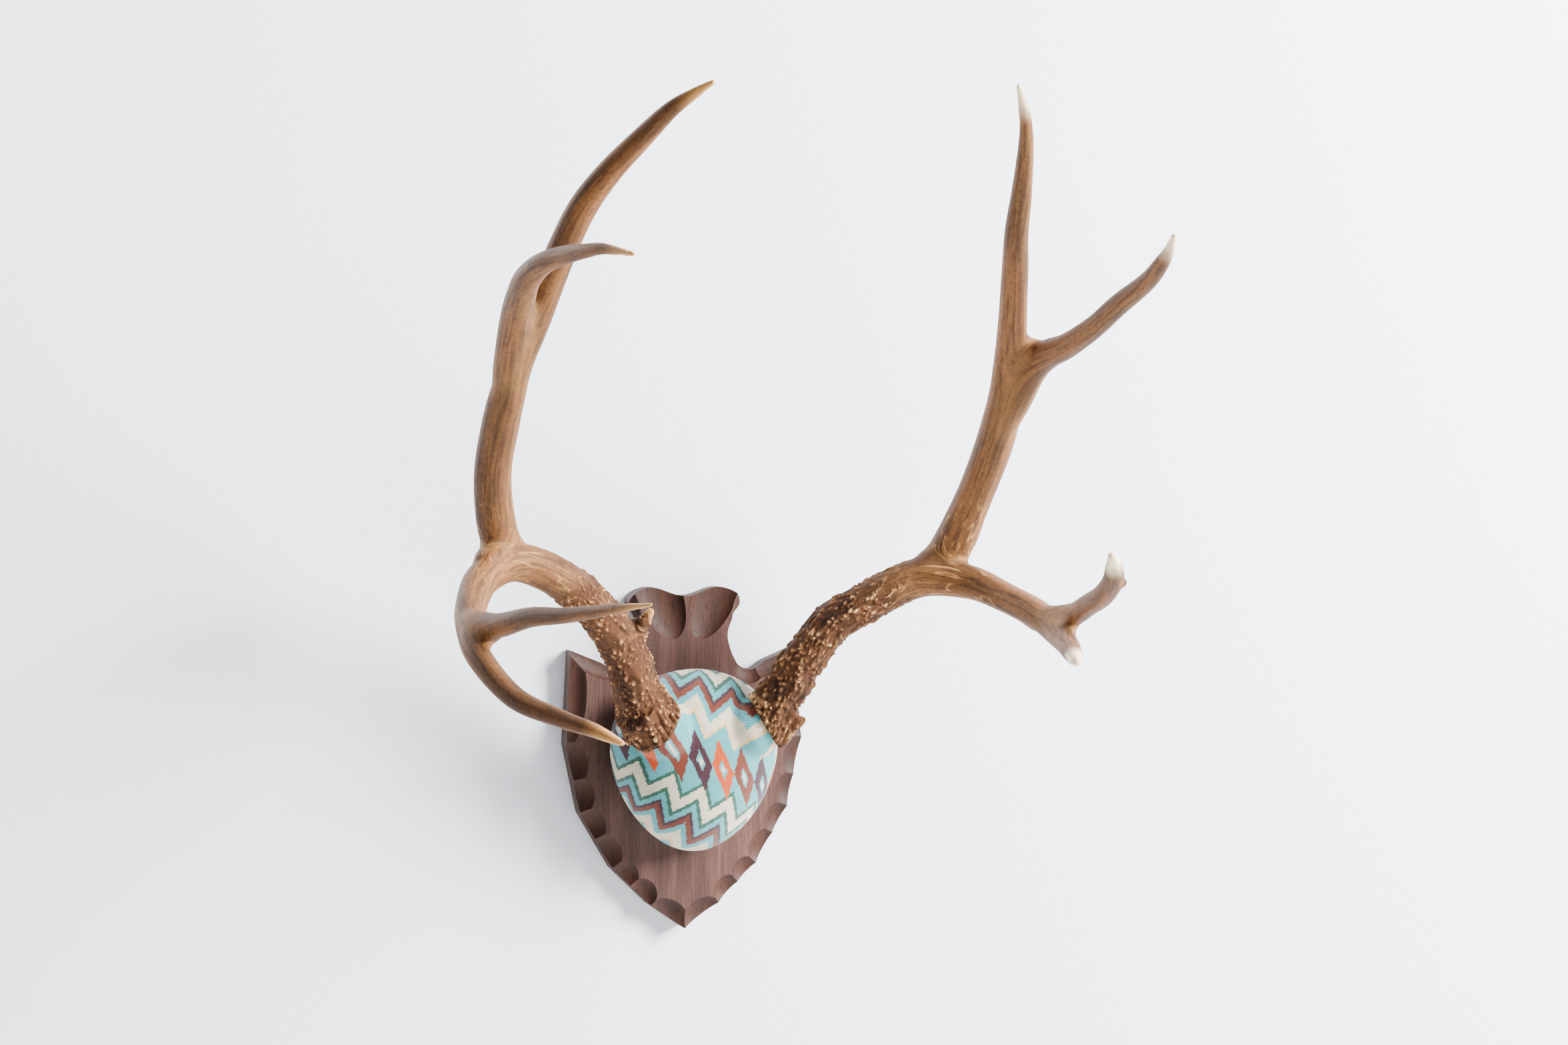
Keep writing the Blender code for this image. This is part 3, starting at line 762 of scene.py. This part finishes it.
def diamond_group():
    """One woven diamond with stepped sides: 1 inside it and 0 outside."""
    group, given, end = new_group(
        "woven_diamond",
        (("Across", "NodeSocketFloat", 0.0), ("Up", "NodeSocketFloat", 0.0),
         ("Centre", "NodeSocketFloat", 0.0), ("Half Width", "NodeSocketFloat", 0.02),
         ("Half Height", "NodeSocketFloat", 0.01)),
        (("Inside", "NodeSocketFloat"),))
    across = maths(group, "SUBTRACT", given["Across"], given["Centre"])
    across = maths(group, "ABSOLUTE", across)
    up = maths(group, "ABSOLUTE", given["Up"])
    share = maths(group, "ADD", maths(group, "DIVIDE", across, given["Half Width"]),
                  maths(group, "DIVIDE", up, given["Half Height"]))
    wire(group, end, {"Inside": maths(group, "LESS_THAN", share, 1.0)})
    return group


def band_ramp(tree, value, bands, dyes):
    """Colours in bands across a value from 0 to 1, one after the other without blending."""
    node = tree.nodes.new("ShaderNodeValToRGB")
    node.color_ramp.interpolation = "CONSTANT"
    stops = node.color_ramp.elements
    total = sum(width for _, width in bands)
    start = 0.0
    for index, (name, width) in enumerate(bands):
        # A new ramp has two stops already.
        stop = stops[index] if index < 2 else stops.new(start)
        stop.position = start
        stop.color = (*dyes[name], 1.0)
        start += width / total
    wire(tree, node, {0: value})
    return node.outputs[0]


def blanket_material(cap):
    """Milled wool with woven zigzag bands and lozenges, stepped from thread to thread."""
    made, tree, shader = new_material("blanket_wool", Roughness=0.93, Sheen_Weight=0.25,
                                      Sheen_Roughness=0.5, Specular_IOR_Level=0.2)
    dyes = {name: tuple(getattr(cap, name)) for name in
            ("ground", "orange", "rust", "plum", "green", "cream", "tan")}
    cloth = put(tree, "UVMap", uv_map="blanket")
    turn = put(tree, "Mapping", {"Vector": cloth, "Rotation": (0.0, 0.0, 0.38)})
    axes = separate(tree, turn)
    wobble = maths(tree, "SUBTRACT", noise_value(tree, turn, 700.0, 2.0), 0.5)
    across = maths(tree, "MULTIPLY_ADD", wobble, 0.0009, axes["X"])
    across = maths(tree, "SNAP", across, THREAD_STEP)
    up = maths(tree, "MULTIPLY_ADD", wobble, 0.0009, axes["Y"])
    up = maths(tree, "SNAP", up, THREAD_STEP)
    swing = maths(tree, "PINGPONG", across, ZIGZAG_WIDTH / 2)
    height = maths(tree, "MULTIPLY_ADD", swing, ZIGZAG_STEEPNESS, up)
    height = maths(tree, "SUBTRACT", height, ZIGZAG_SHIFT)
    length = sum(width for _, width in BLANKET_BANDS) / 1000
    share = maths(tree, "DIVIDE", maths(tree, "WRAP", height, length, 0.0), length)
    colour = band_ramp(tree, share, BLANKET_BANDS, dyes)
    leaning = maths(tree, "MULTIPLY_ADD", up, LOZENGE_LEAN, across)
    row = len(LOZENGE_DYES) * LOZENGE_WIDTH
    turn_share = maths(tree, "DIVIDE", maths(tree, "WRAP", leaning, row, 0.0), row)
    lozenge = band_ramp(tree, turn_share, [(dye, 1) for dye in LOZENGE_DYES], dyes)
    column = maths(tree, "WRAP", leaning, LOZENGE_WIDTH, 0.0)
    group = diamond_group()
    hearts = [(LOZENGE_WIDTH / 2, LOZENGE_HEIGHT, lozenge)]
    hearts += [(wide, high, dyes[dye]) for wide, high, dye in LOZENGE_HEARTS]
    for half_width, half_height, dye in hearts:
        inside = use_group(tree, group, {
            "Across": column, "Up": up, "Centre": LOZENGE_WIDTH / 2,
            "Half Width": half_width, "Half Height": half_height})["Inside"]
        colour = blend_colour(tree, inside, colour, dye)
    fuzz = noise_value(tree, cloth, 1300.0, 4.0, 0.75)
    cloudy = noise_value(tree, cloth, 80.0, 3.0)
    tone = maths(tree, "MULTIPLY", spread(tree, fuzz, 0.3, 0.7, 0.72, 1.24),
                 spread(tree, cloudy, 0.3, 0.7, 0.90, 1.07))
    wire(tree, shader, {"Base Color": toned(tree, colour, tone)})
    twill = put(tree, "TexWave", {"Vector": turn, "Scale": 230.0, "Distortion": 2.5,
                                  "Detail": 2.0, "Detail Scale": 3.0})
    relief = maths(tree, "MULTIPLY_ADD", twill.node.outputs["Fac"], 0.35, fuzz)
    bump(tree, shader, relief, 0.7, 0.0007)
    return made


# The antlers.

def smooth_route(points, steps):
    """Points along a smooth curve through stations, each with its radius."""
    route = []
    last = len(points) - 1
    for index in range(last):
        before = points[max(index - 1, 0)]
        after = points[min(index + 2, last)]
        for step in range(steps):
            t = step / steps
            route.append([
                0.5 * (2 * b + (c - a) * t + (2 * a - 5 * b + 4 * c - d) * t * t
                       + (3 * b - a - 3 * c + d) * t * t * t)
                for a, b, c, d in zip(before, points[index], points[index + 1], after)])
    route.append(list(points[last]))
    return np.array(route)


def drawn_most(field):
    return max(point[field] for branches in (LEFT_BRANCHES, RIGHT_BRANCHES)
               for branch in branches.values() for point in branch)


def place_branch(stations, side, seat, antler):
    """Stations in metres, about the burr's seat, at the antler's real size."""
    scale = antler.rise / drawn_most(2)
    girth = antler.beam / 2 / drawn_most(3)
    return [(seat.x + side * out * scale, seat.y - forward * scale,
             seat.z + up * scale, radius * girth)
            for out, forward, up, radius in stations]


def tube(name, route):
    """A tapering tube along a route."""
    data = bpy.data.curves.new(name, "CURVE")
    data.dimensions = "3D"
    data.bevel_depth = 1.0
    data.bevel_resolution = 8
    data.use_fill_caps = True
    spline = data.splines.new("POLY")
    spline.points.add(len(route) - 1)
    for knot, (x, y, z, radius) in zip(spline.points, route):
        knot.co = (x, y, z, 1.0)
        knot.radius = radius
    made = new_object(name, data)
    pick(made)
    bpy.ops.object.convert(target="MESH")
    return bpy.context.object


class Axis:
    """The middle line of one branch, with a frame that doesn't twist along it."""

    def __init__(self, route, parent=None):
        gaps = np.linalg.norm(np.diff(route[:, :3], axis=0), axis=1)
        arc = np.concatenate(([0.0], np.cumsum(gaps)))
        even = np.arange(0.0, arc[-1], 0.001)
        self.place = np.stack([np.interp(even, arc, route[:, k]) for k in range(3)], 1)
        self.radius = np.interp(even, arc, route[:, 3])
        self.along = np.gradient(self.place, axis=0)
        self.along /= np.linalg.norm(self.along, axis=1)[:, None]
        self.arc = even
        normal = np.array((0.0, -1.0, 0.0))
        self.aside = np.zeros(2)
        if parent:
            near = np.argmin(np.linalg.norm(parent.place - self.place[0], axis=1))
            normal = parent.normal[near]
            self.arc = even + parent.arc[near]
            start = self.place[0] - parent.place[near]
            self.aside = parent.aside + np.array((start.dot(parent.normal[near]),
                                                  start.dot(parent.binormal[near])))
        self.normal = np.empty_like(self.place)
        for index, along in enumerate(self.along):
            normal = normal - along * normal.dot(along)
            normal = normal / np.linalg.norm(normal)
            self.normal[index] = normal
        self.binormal = np.cross(self.along, self.normal)
        self.tree = kdtree.KDTree(len(self.place))
        for index, place in enumerate(self.place):
            self.tree.insert(place, index)
        self.tree.balance()

    def measure(self, places):
        """For each place: arc and two offsets, which carry on from the parent's, height
        over the tube, radius there, and how far it is from the branch's free end."""
        near = np.array([self.tree.find(place)[1] for place in places])
        offset = places - self.place[near]
        over = np.einsum("ij,ij->i", offset, self.along[near])
        first = np.einsum("ij,ij->i", offset, self.normal[near])
        second = np.einsum("ij,ij->i", offset, self.binormal[near])
        before = np.where(near == 0, np.clip(-over, 0, None), 0.0)
        height = np.hypot(first, second) - self.radius[near] + before
        arc = self.arc[near] + over
        return (arc, first + self.aside[0], second + self.aside[1], height,
                self.radius[near], self.arc[-1] - arc)


def burr_shells(side, seat, direction, antler, seed):
    """The burr's flare and the knobs round its rim."""
    chance = random.Random(seed)
    rim = antler.burr / 2
    route = [(*(seat + direction * up), rim * share) for up, share in BURR_FLARE]
    shells = [tube("flare", route)]
    turn = direction.to_track_quat("Z", "Y").to_matrix()
    for row, (count, reach, low, high) in enumerate(BURR_KNOBS):
        for index in range(count):
            angle = math.tau * (index + chance.uniform(-0.25, 0.25)) / count
            size = rim * chance.uniform(0.055, 0.105) * (1 - 0.2 * row)
            radius = rim * reach * chance.uniform(0.975, 1.02)
            place = Vector((radius * math.cos(angle), radius * math.sin(angle),
                            chance.uniform(low, high)))
            bpy.ops.mesh.primitive_ico_sphere_add(subdivisions=2, radius=size,
                                                  location=seat + turn @ place)
            settle(bpy.context.object)
            shells.append(bpy.context.object)
    return shells


def antler_blank(name, side, routes, seat, direction, antler, seed):
    tubes = [tube(branch, route) for branch, route in routes.items()]
    body = join(tubes, name)
    remesh(body, antler.grid * 1.3, 5)
    body = join([body] + burr_shells(side, seat, direction, antler, seed), name)
    remesh(body, antler.grid, 2)
    pick(body)
    bpy.ops.object.mode_set(mode="EDIT")
    bpy.ops.mesh.select_all(action="SELECT")
    bpy.ops.mesh.bisect(plane_co=seat + direction * SEAT_GAP, plane_no=direction,
                        use_fill=True, clear_inner=True)
    bpy.ops.object.mode_set(mode="OBJECT")
    return body


def refine_beam(body, axes, reach):
    """Halve the grid where the pearls will stand."""
    mesh = body.data
    arc, _, _, height, _, _ = axes["beam"].measure(point_values(mesh))
    near = (arc < reach) & (height < 0.012)
    for face in mesh.polygons:
        face.select = all(near[index] for index in face.vertices)
    for edge in mesh.edges:
        edge.select = all(near[index] for index in edge.vertices)
    for vertex, chosen in zip(mesh.vertices, near):
        vertex.select = bool(chosen)
    pick(body)
    bpy.ops.object.mode_set(mode="EDIT")
    bpy.ops.mesh.select_mode(type="FACE")
    bpy.ops.mesh.subdivide(number_cuts=1, smoothness=0.6)
    bpy.ops.object.mode_set(mode="OBJECT")


def grain_fields(places, axes):
    """Place along and across the grain, blended where branches meet, with how far each
    point lies in a fork: close to it for colour, and more widely for shape."""
    total = np.zeros(len(places))
    wide_total = np.zeros(len(places))
    wide_most = np.zeros(len(places))
    grain = np.zeros((len(places), 3))
    tip = np.zeros(len(places))
    radius = np.zeros(len(places))
    shares = {}
    for branch, axis in axes.items():
        arc, first, second, height, girth, left = axis.measure(places)
        # A branch begins inside its parent, so its share grows over its first stretch.
        grown = 1.0 if branch == "beam" else smoothstep(0.000, 0.060, arc - axis.arc[0])
        weight = np.exp(-np.clip(height, -0.02, 0.2) / 0.0035) * grown
        wide = np.exp(-np.clip(height, -0.02, 0.2) / 0.0070) * grown
        total += weight
        wide_total += wide
        wide_most = np.maximum(wide_most, wide)
        grain += np.stack((arc, first, second), 1) * weight[:, None]
        tip += left * weight
        radius += girth * weight
        shares[branch] = weight
    strongest = np.max(np.stack(list(shares.values())), axis=0) / total
    return (grain / total[:, None], tip / total, radius / total,
            smoothstep(0.98, 0.6, strongest),
            smoothstep(0.90, 0.62, wide_most / wide_total))


def soften_forks(body, crotch):
    """Rub down the lumps where branches meet, and nowhere else."""
    group = body.vertex_groups.new(name="forks")
    for index in np.nonzero(crotch > 0.02)[0]:
        group.add([int(index)], float(crotch[index]), "REPLACE")
    rub = body.modifiers.new("rub_forks", "SMOOTH")
    rub.factor = 0.5
    rub.iterations = FORK_RUBS
    rub.vertex_group = "forks"
    apply_modifiers(body)
    body.vertex_groups.remove(body.vertex_groups["forks"])


def pearl_relief(arc, angle, radius, uneven, count, reach, chance):
    """Pointed pearls, drawn out further up the beam: shares of the largest one's height,
    and how near each point is to a pearl's top."""
    relief = np.zeros(len(arc))
    crown = np.zeros(len(arc))
    for _ in range(count):
        share = chance.random() ** 1.35
        centre = 0.004 + share * reach
        turn = chance.uniform(-math.pi, math.pi)
        large = chance.random() ** 1.3
        wide = (0.0010 + 0.0013 * large) * (1.15 - 0.4 * share)
        long = wide * chance.uniform(1.0, 1.5 + 2.0 * share)
        lean = chance.gauss(0.0, 0.45)
        tall = (0.42 + 0.58 * large) * (1.0 - 0.5 * share)
        near = np.nonzero(np.abs(arc - centre) < 0.006)[0]
        round_by = (angle[near] - turn + math.pi) % math.tau - math.pi
        across = round_by * radius[near]
        along = arc[near] - centre
        x = (along * math.cos(lean) + across * math.sin(lean)) / long
        y = (across * math.cos(lean) - along * math.sin(lean)) / wide
        shape = np.clip(1 - np.hypot(x, y) - uneven[near], 0, None)
        relief[near] = np.maximum(relief[near], shape * tall)
        crown[near] = np.maximum(crown[near], shape)
    return relief, crown


def carve_antler(body, axes, seat, direction, antler, seed):
    """Pearls, ridges and furrows as real relief, and the fields that colour it."""
    mesh = body.data
    grain, tip, radius, fork, crotch = grain_fields(point_values(mesh), axes)
    soften_forks(body, crotch * smoothstep(0.070, 0.090, grain[:, 0]))
    mesh = body.data
    places = point_values(mesh)
    normals = point_values(mesh, "normal")
    offset = places - np.array(seat)
    up = offset @ np.array(direction)
    out = np.linalg.norm(offset - up[:, None] * np.array(direction), axis=1)
    arc = grain[:, 0] - 0.009
    angle = np.arctan2(grain[:, 2], grain[:, 1])
    rough = smoothstep(0.170, 0.070, arc)
    pearled = smoothstep(0.165, 0.145, arc)
    chance = random.Random(seed)
    around = np.hypot(grain[:, 1], grain[:, 2])
    fine = grain + np.array((seed * 0.37, 0.0, 0.0))
    uneven = np.clip(noise_at(fine, (420.0, 420.0, 420.0)), 0, None) * 0.9
    pearls, crown = pearl_relief(arc, angle, around, uneven, antler.pearls, PEARL_REACH,
                                  chance)
    pearls, crown = pearls * pearled, crown * pearled
    waves = noise_at(fine, (48.0, 170.0, 170.0))
    ridges = np.clip(waves, 0, None) * 2.2
    lumps = noise_at(fine, (30.0, 75.0, 75.0))
    swell = noise_at(fine, (14.0, 40.0, 40.0))
    furrow = np.abs(np.sin(angle * 12 + 2.5 * lumps)) ** 0.6 - 0.75
    furrow *= smoothstep(0.024, 0.006, arc)
    welt = np.clip(1 - np.abs(noise_at(fine, (95.0, 230.0, 230.0))) * 5, 0, None)
    welt *= smoothstep(0.185, 0.150, arc) * smoothstep(0.04, 0.08, arc)
    welt *= smoothstep(0.0, 0.22, noise_at(fine, (60.0, 60.0, 60.0)))
    lift = (pearls * antler.pearl_height
            + ridges * RIDGE_HEIGHT * rough
            + welt * WELT_HEIGHT
            + lumps * (BARK_LUMPS * rough + UPPER_LUMPS)
            + swell * SWELL_HEIGHT
            + furrow * FURROW_HEIGHT)
    thin = smoothstep(0.001, 0.009, radius)
    seated = smoothstep(SEAT_GAP + 0.00005, SEAT_GAP + 0.0008, up)
    near_seat = np.where(out < antler.burr, seated, 1.0)
    set_points(mesh, places + normals * (lift * thin * near_seat)[:, None])
    rim = smoothstep(antler.burr * 0.455, antler.burr * 0.50, out) * (arc < 0.02)
    relief = np.clip(crown + ridges * 0.12 * rough + welt * 0.60
                     + rim * 0.75 + furrow * 0.3, 0, 1)
    add_attribute(mesh, "grain", "FLOAT_VECTOR", grain)
    for field, values in (("relief", relief), ("bark", smoothstep(0.185, 0.115, arc)),
                          ("fork", fork), ("tip", tip)):
        add_attribute(mesh, field, "FLOAT", values)


def attribute(tree, name, output="Fac"):
    return put(tree, "Attribute", attribute_name=name).node.outputs[output]


def antler_material(name, antler, seed, tip_reach, tip_colour):
    """Dark pearled bark below, rubbed brown with dark streaks above, polished tips."""
    made, tree, shader = new_material(name, Specular_IOR_Level=0.13)
    grain = attribute(tree, "grain", "Vector")
    axes = separate(tree, grain)
    turned_grain = put(tree, "CombineXYZ", {0: axes["Y"], 1: axes["Z"],
                                            2: maths(tree, "ADD", axes["X"], seed * 1.7)})
    fibres = use_group(tree, fibre_group(), {"Vector": turned_grain, "Broad": 95.0,
                                             "Fine": 420.0, "Length": 26.0})
    relief, bark, fork, tip = (attribute(tree, field)
                               for field in ("relief", "bark", "fork", "tip"))
    streak, pale = tuple(antler.streak), srgb(186, 138, 80)
    mottle = noise_value(tree, turned_grain, 330.0, 3.0)
    winding = put(tree, "Mapping", {"Vector": turned_grain, "Scale": (135.0, 135.0, 19.0)})
    vein = noise_value(tree, winding, 1.0, 1.5, 0.45, 0.6)
    vein = maths(tree, "ABSOLUTE", maths(tree, "SUBTRACT", vein, 0.5))
    vein = spread(tree, vein, 0.004, 0.034, 1.0, 0.0)
    broken = noise_value(tree, turned_grain, 55.0, 2.0)
    vein = maths(tree, "MULTIPLY", vein, spread(tree, broken, 0.42, 0.56))
    band = spread(tree, axes["X"], 0.135, 0.175)
    fade = spread(tree, axes["X"], 0.290, 0.215)
    veined = maths(tree, "MULTIPLY", vein, maths(tree, "MULTIPLY", band, fade))
    rubbed = coats(
        tree, tuple(antler.golden),
        (spread(tree, fibres["Bands"], 0.38, 0.66, 0.0, 0.6), streak),
        (spread(tree, fibres["Lines"], 0.42, 0.66, 0.0, 0.6), streak),
        (spread(tree, mottle, 0.45, 0.7, 0.0, 0.35), streak),
        (maths(tree, "MULTIPLY", veined, 0.60), pale),
        (maths(tree, "MULTIPLY", fork, 0.12), pale))
    dark = coats(
        tree, tuple(antler.bark),
        (spread(tree, mottle, 0.35, 0.7), tuple(antler.crevice)),
        (spread(tree, fibres["Bands"], 0.35, 0.7, 0.0, 0.5), srgb(96, 60, 36)))
    cloudy = noise_value(tree, turned_grain, 60.0, 3.0)
    patch = spread(tree, cloudy, 0.35, 0.65, -0.35, 0.35)
    low = maths(tree, "ADD", bark, patch, clamp=True)
    low = maths(tree, "MULTIPLY", low, spread(tree, bark, 0.0, 0.35))
    ends = spread(tree, tip, tip_reach, tip_reach * 0.12)
    flow = spread(tree, fibres["Lines"], 0.3, 0.7, -0.3, 0.3)
    ends = maths(tree, "ADD", ends, maths(tree, "MULTIPLY", flow, ends), clamp=True)
    colour = coats(
        tree, rubbed,
        (low, dark),
        (spread(tree, relief, 0.10, 0.60, 0.0, 0.55), srgb(122, 82, 50)),
        (spread(tree, relief, 0.64, 0.98, 0.0, 0.75), srgb(212, 170, 116)),
        (ends, tip_colour))
    rough = maths(tree, "MULTIPLY_ADD", low, 0.18, 0.62)
    rough = maths(tree, "MULTIPLY_ADD", ends, -0.20, rough)
    wire(tree, shader, {"Base Color": colour, "Roughness": rough})
    grit = noise_value(tree, turned_grain, 900.0, 4.0, 0.65)
    height = maths(tree, "MULTIPLY", grit, maths(tree, "MULTIPLY_ADD", low, 1.0, 0.12))
    height = maths(tree, "MULTIPLY_ADD", fibres["Lines"], 0.22, height)
    bump(tree, shader, height, 0.55, 0.0009)
    return made


def make_antler(name, side, branches, scene, finish, seed):
    cap, shield, antler = scene.trophy_cap, scene.trophy_shield, scene.trophy_antler
    seat = burr_seat(side, cap, shield, antler)
    direction = burr_direction(side, antler)
    routes = {branch: smooth_route(place_branch(stations, side, seat, antler), 10)
              for branch, stations in branches.items()}
    axes = {}
    for branch, route in routes.items():
        if not branch.endswith("web"):
            axes[branch] = Axis(route, axes.get(PARENTS.get(branch)))
        # Ends that lie inside another branch are thinned so that no edge shows.
        along = np.linspace(0.0, 1.0, len(route))
        if branch.endswith("web"):
            route[:, 3] *= 0.75 + 0.25 * np.sin(math.pi * along)
        elif branch == "front_tine":
            route[:, 3] *= 0.70 + 0.30 * smoothstep(0.0, 0.14, along)
    body = antler_blank(name, side, routes, seat, direction, antler, seed)
    refine_beam(body, axes, REFINED_REACH)
    carve_antler(body, axes, seat, direction, antler, seed)
    thin_out(body, ANTLER_TRIANGLES)
    body.data.materials.clear()
    body.data.materials.append(finish)
    pick(body)
    bpy.ops.object.shade_smooth()
    return body


# The room.

def wall_material(colour):
    """Matt wall paint, seen only from the room's side, that shades nothing."""
    made, tree, shader = new_material("wall_paint", Roughness=0.9)
    place = put(tree, "TexCoord").node.outputs["Object"]
    peel = noise_value(tree, place, 260.0, 3.0)
    wire(tree, shader, {"Base Color": tuple(colour)})
    bump(tree, shader, peel, 0.12, 0.002)
    clear = put(tree, "BsdfTransparent")
    back = put(tree, "NewGeometry").node.outputs["Backfacing"]
    shading = put(tree, "LightPath").node.outputs["Is Shadow Ray"]
    unseen = maths(tree, "MAXIMUM", back, shading)
    both = put(tree, "MixShader", {0: unseen, 1: shader.outputs[0], 2: clear})
    wire(tree, tree.nodes["Material Output"], {"Surface": both})
    return made


def add_plane(name, place, turn, paint):
    bpy.ops.object.select_all(action="DESELECT")
    bpy.ops.mesh.primitive_plane_add(size=7.0, location=place, rotation=turn)
    plane = bpy.context.object
    plane.name = name
    plane.data.materials.append(paint)
    settle(plane)
    return plane


def add_light(name, place, target, size, power, colour):
    light = bpy.data.lights.new(name, "AREA")
    light.shape = "RECTANGLE"
    light.size, light.size_y = size
    light.energy = power
    light.color = colour
    lamp = new_object(name, light)
    lamp.location = place
    lamp.rotation_euler = (Vector(target) - Vector(place)).to_track_quat("-Z", "Y").to_euler()


def add_camera(lens):
    """The photograph's viewpoint, found from pairs of points on the two antlers."""
    yaw, pitch, roll = (math.radians(angle) for angle in PHOTO_TURN)
    ahead = Vector((math.sin(yaw) * math.cos(pitch), math.cos(yaw) * math.cos(pitch),
                    math.sin(pitch)))
    level = Vector((math.cos(yaw), -math.sin(yaw), 0.0))
    above = level.cross(ahead)
    right = level * math.cos(roll) + above * math.sin(roll)
    up = above * math.cos(roll) - level * math.sin(roll)
    data = bpy.data.cameras.new("photo_view")
    data.sensor_width = 36.0
    data.sensor_fit = "HORIZONTAL"
    data.lens = lens
    data.clip_start = 0.05
    data.clip_end = 50.0
    camera = new_object("photo_view", data)
    turn = Matrix((right, up, -ahead)).transposed().to_4x4()
    camera.matrix_world = Matrix.Translation(PHOTO_PLACE) @ turn
    bpy.context.scene.camera = camera


# One operator for each piece and one for the stage.

class OBJECT_OT_trophy_shield(bpy.types.Operator):
    """Saw the walnut board to its outline and carve the scoops round its edge"""

    bl_idname = "object.trophy_shield"
    bl_label = "Carve the Shield"

    def execute(self, context):
        settings = context.scene.trophy_shield
        board = carve_shield(settings)
        dress_shield(board, settings)
        finish_piece(board, "plaque")
        return {"FINISHED"}


class OBJECT_OT_trophy_cap(bpy.types.Operator):
    """Model the skull cap and stretch the patterned blanket over it"""

    bl_idname = "object.trophy_cap"
    bl_label = "Cover the Skull Cap"

    def execute(self, context):
        scene = context.scene
        dome = shape_cap(scene.trophy_cap, scene.trophy_shield, scene.trophy_antler)
        lay_blanket(dome, scene.trophy_cap, scene.trophy_shield)
        dome.data.materials.clear()
        dome.data.materials.append(blanket_material(scene.trophy_cap))
        pick(dome)
        bpy.ops.object.shade_smooth_by_angle(angle=math.radians(50.0))
        finish_piece(dome, "skull_cap")
        return {"FINISHED"}


class OBJECT_OT_trophy_antlers(bpy.types.Operator):
    """Grow both antlers along their branches, with burrs, pearls and polished tips"""

    bl_idname = "object.trophy_antlers"
    bl_label = "Grow the Antlers"

    def execute(self, context):
        scene = context.scene
        antler = scene.trophy_antler
        amber = srgb(196, 142, 82)
        for name, side, branches, seed, tip_reach, tip in (
                ("left_rack", -1, LEFT_BRANCHES, 3, 0.034, amber),
                ("right_rack", 1, RIGHT_BRANCHES, 8, 0.036, tuple(antler.ivory))):
            finish = antler_material(name + "_horn", antler, seed, tip_reach, tip)
            body = make_antler(name, side, branches, scene, finish, seed)
            finish_piece(body, "left_antler" if side < 0 else "right_antler")
        return {"FINISHED"}


class OBJECT_OT_trophy_stage(bpy.types.Operator):
    """Put up the pale wall and floor, the soft lights and the photograph's camera"""

    bl_idname = "object.trophy_stage"
    bl_label = "Set the Stage"

    def execute(self, context):
        settings = context.scene.trophy_stage
        wall = add_plane("wall", (0.0, 0.0006, 1.5), (math.pi / 2, 0.0, 0.0),
                         wall_material(settings.wall_colour))
        paint = new_material("floor_paint", Roughness=0.8,
                             Base_Color=(*settings.floor_colour, 1.0))[0]
        floor = add_plane("floor", (0.0, -3.4, -1.2), (0.0, 0.0, 0.0), paint)
        for name, (place, target, size, share, colour) in LIGHTS.items():
            add_light(name, place, target, size, settings.window * share, colour)
        world = bpy.data.worlds.new("room")
        context.scene.world = world
        world.use_nodes = True
        back = world.node_tree.nodes["Background"]
        back.inputs["Color"].default_value = (*COOL, 1.0)
        back.inputs["Strength"].default_value = settings.fill
        add_camera(settings.lens)
        return {"FINISHED"}


class VIEW3D_PT_trophy_mount(bpy.types.Panel):
    """Lists the settings and the steps of the trophy mount"""

    bl_label = "Trophy Mount"
    bl_idname = "VIEW3D_PT_trophy_mount"
    bl_space_type = "VIEW_3D"
    bl_region_type = "UI"
    bl_category = "Trophy Mount"

    def draw(self, context):
        for (name, group), step in zip(SETTINGS, STEPS):
            box = self.layout.box()
            settings = getattr(context.scene, name)
            for field in group.__annotations__:
                box.prop(settings, field)
            box.operator(step.bl_idname)


STEPS = (OBJECT_OT_trophy_shield, OBJECT_OT_trophy_cap, OBJECT_OT_trophy_antlers,
         OBJECT_OT_trophy_stage)


def register():
    for name, group in SETTINGS:
        bpy.utils.register_class(group)
        setattr(bpy.types.Scene, name, bpy.props.PointerProperty(type=group))
    for step in STEPS:
        bpy.utils.register_class(step)
    bpy.utils.register_class(VIEW3D_PT_trophy_mount)


def unregister():
    bpy.utils.unregister_class(VIEW3D_PT_trophy_mount)
    for step in reversed(STEPS):
        bpy.utils.unregister_class(step)
    for name, group in reversed(SETTINGS):
        delattr(bpy.types.Scene, name)
        bpy.utils.unregister_class(group)


def main():
    register()
    bpy.ops.object.trophy_shield()
    bpy.ops.object.trophy_cap()
    bpy.ops.object.trophy_antlers()
    bpy.ops.object.trophy_stage()
    bpy.context.view_layer.update()


if __name__ == "__main__":
    main()
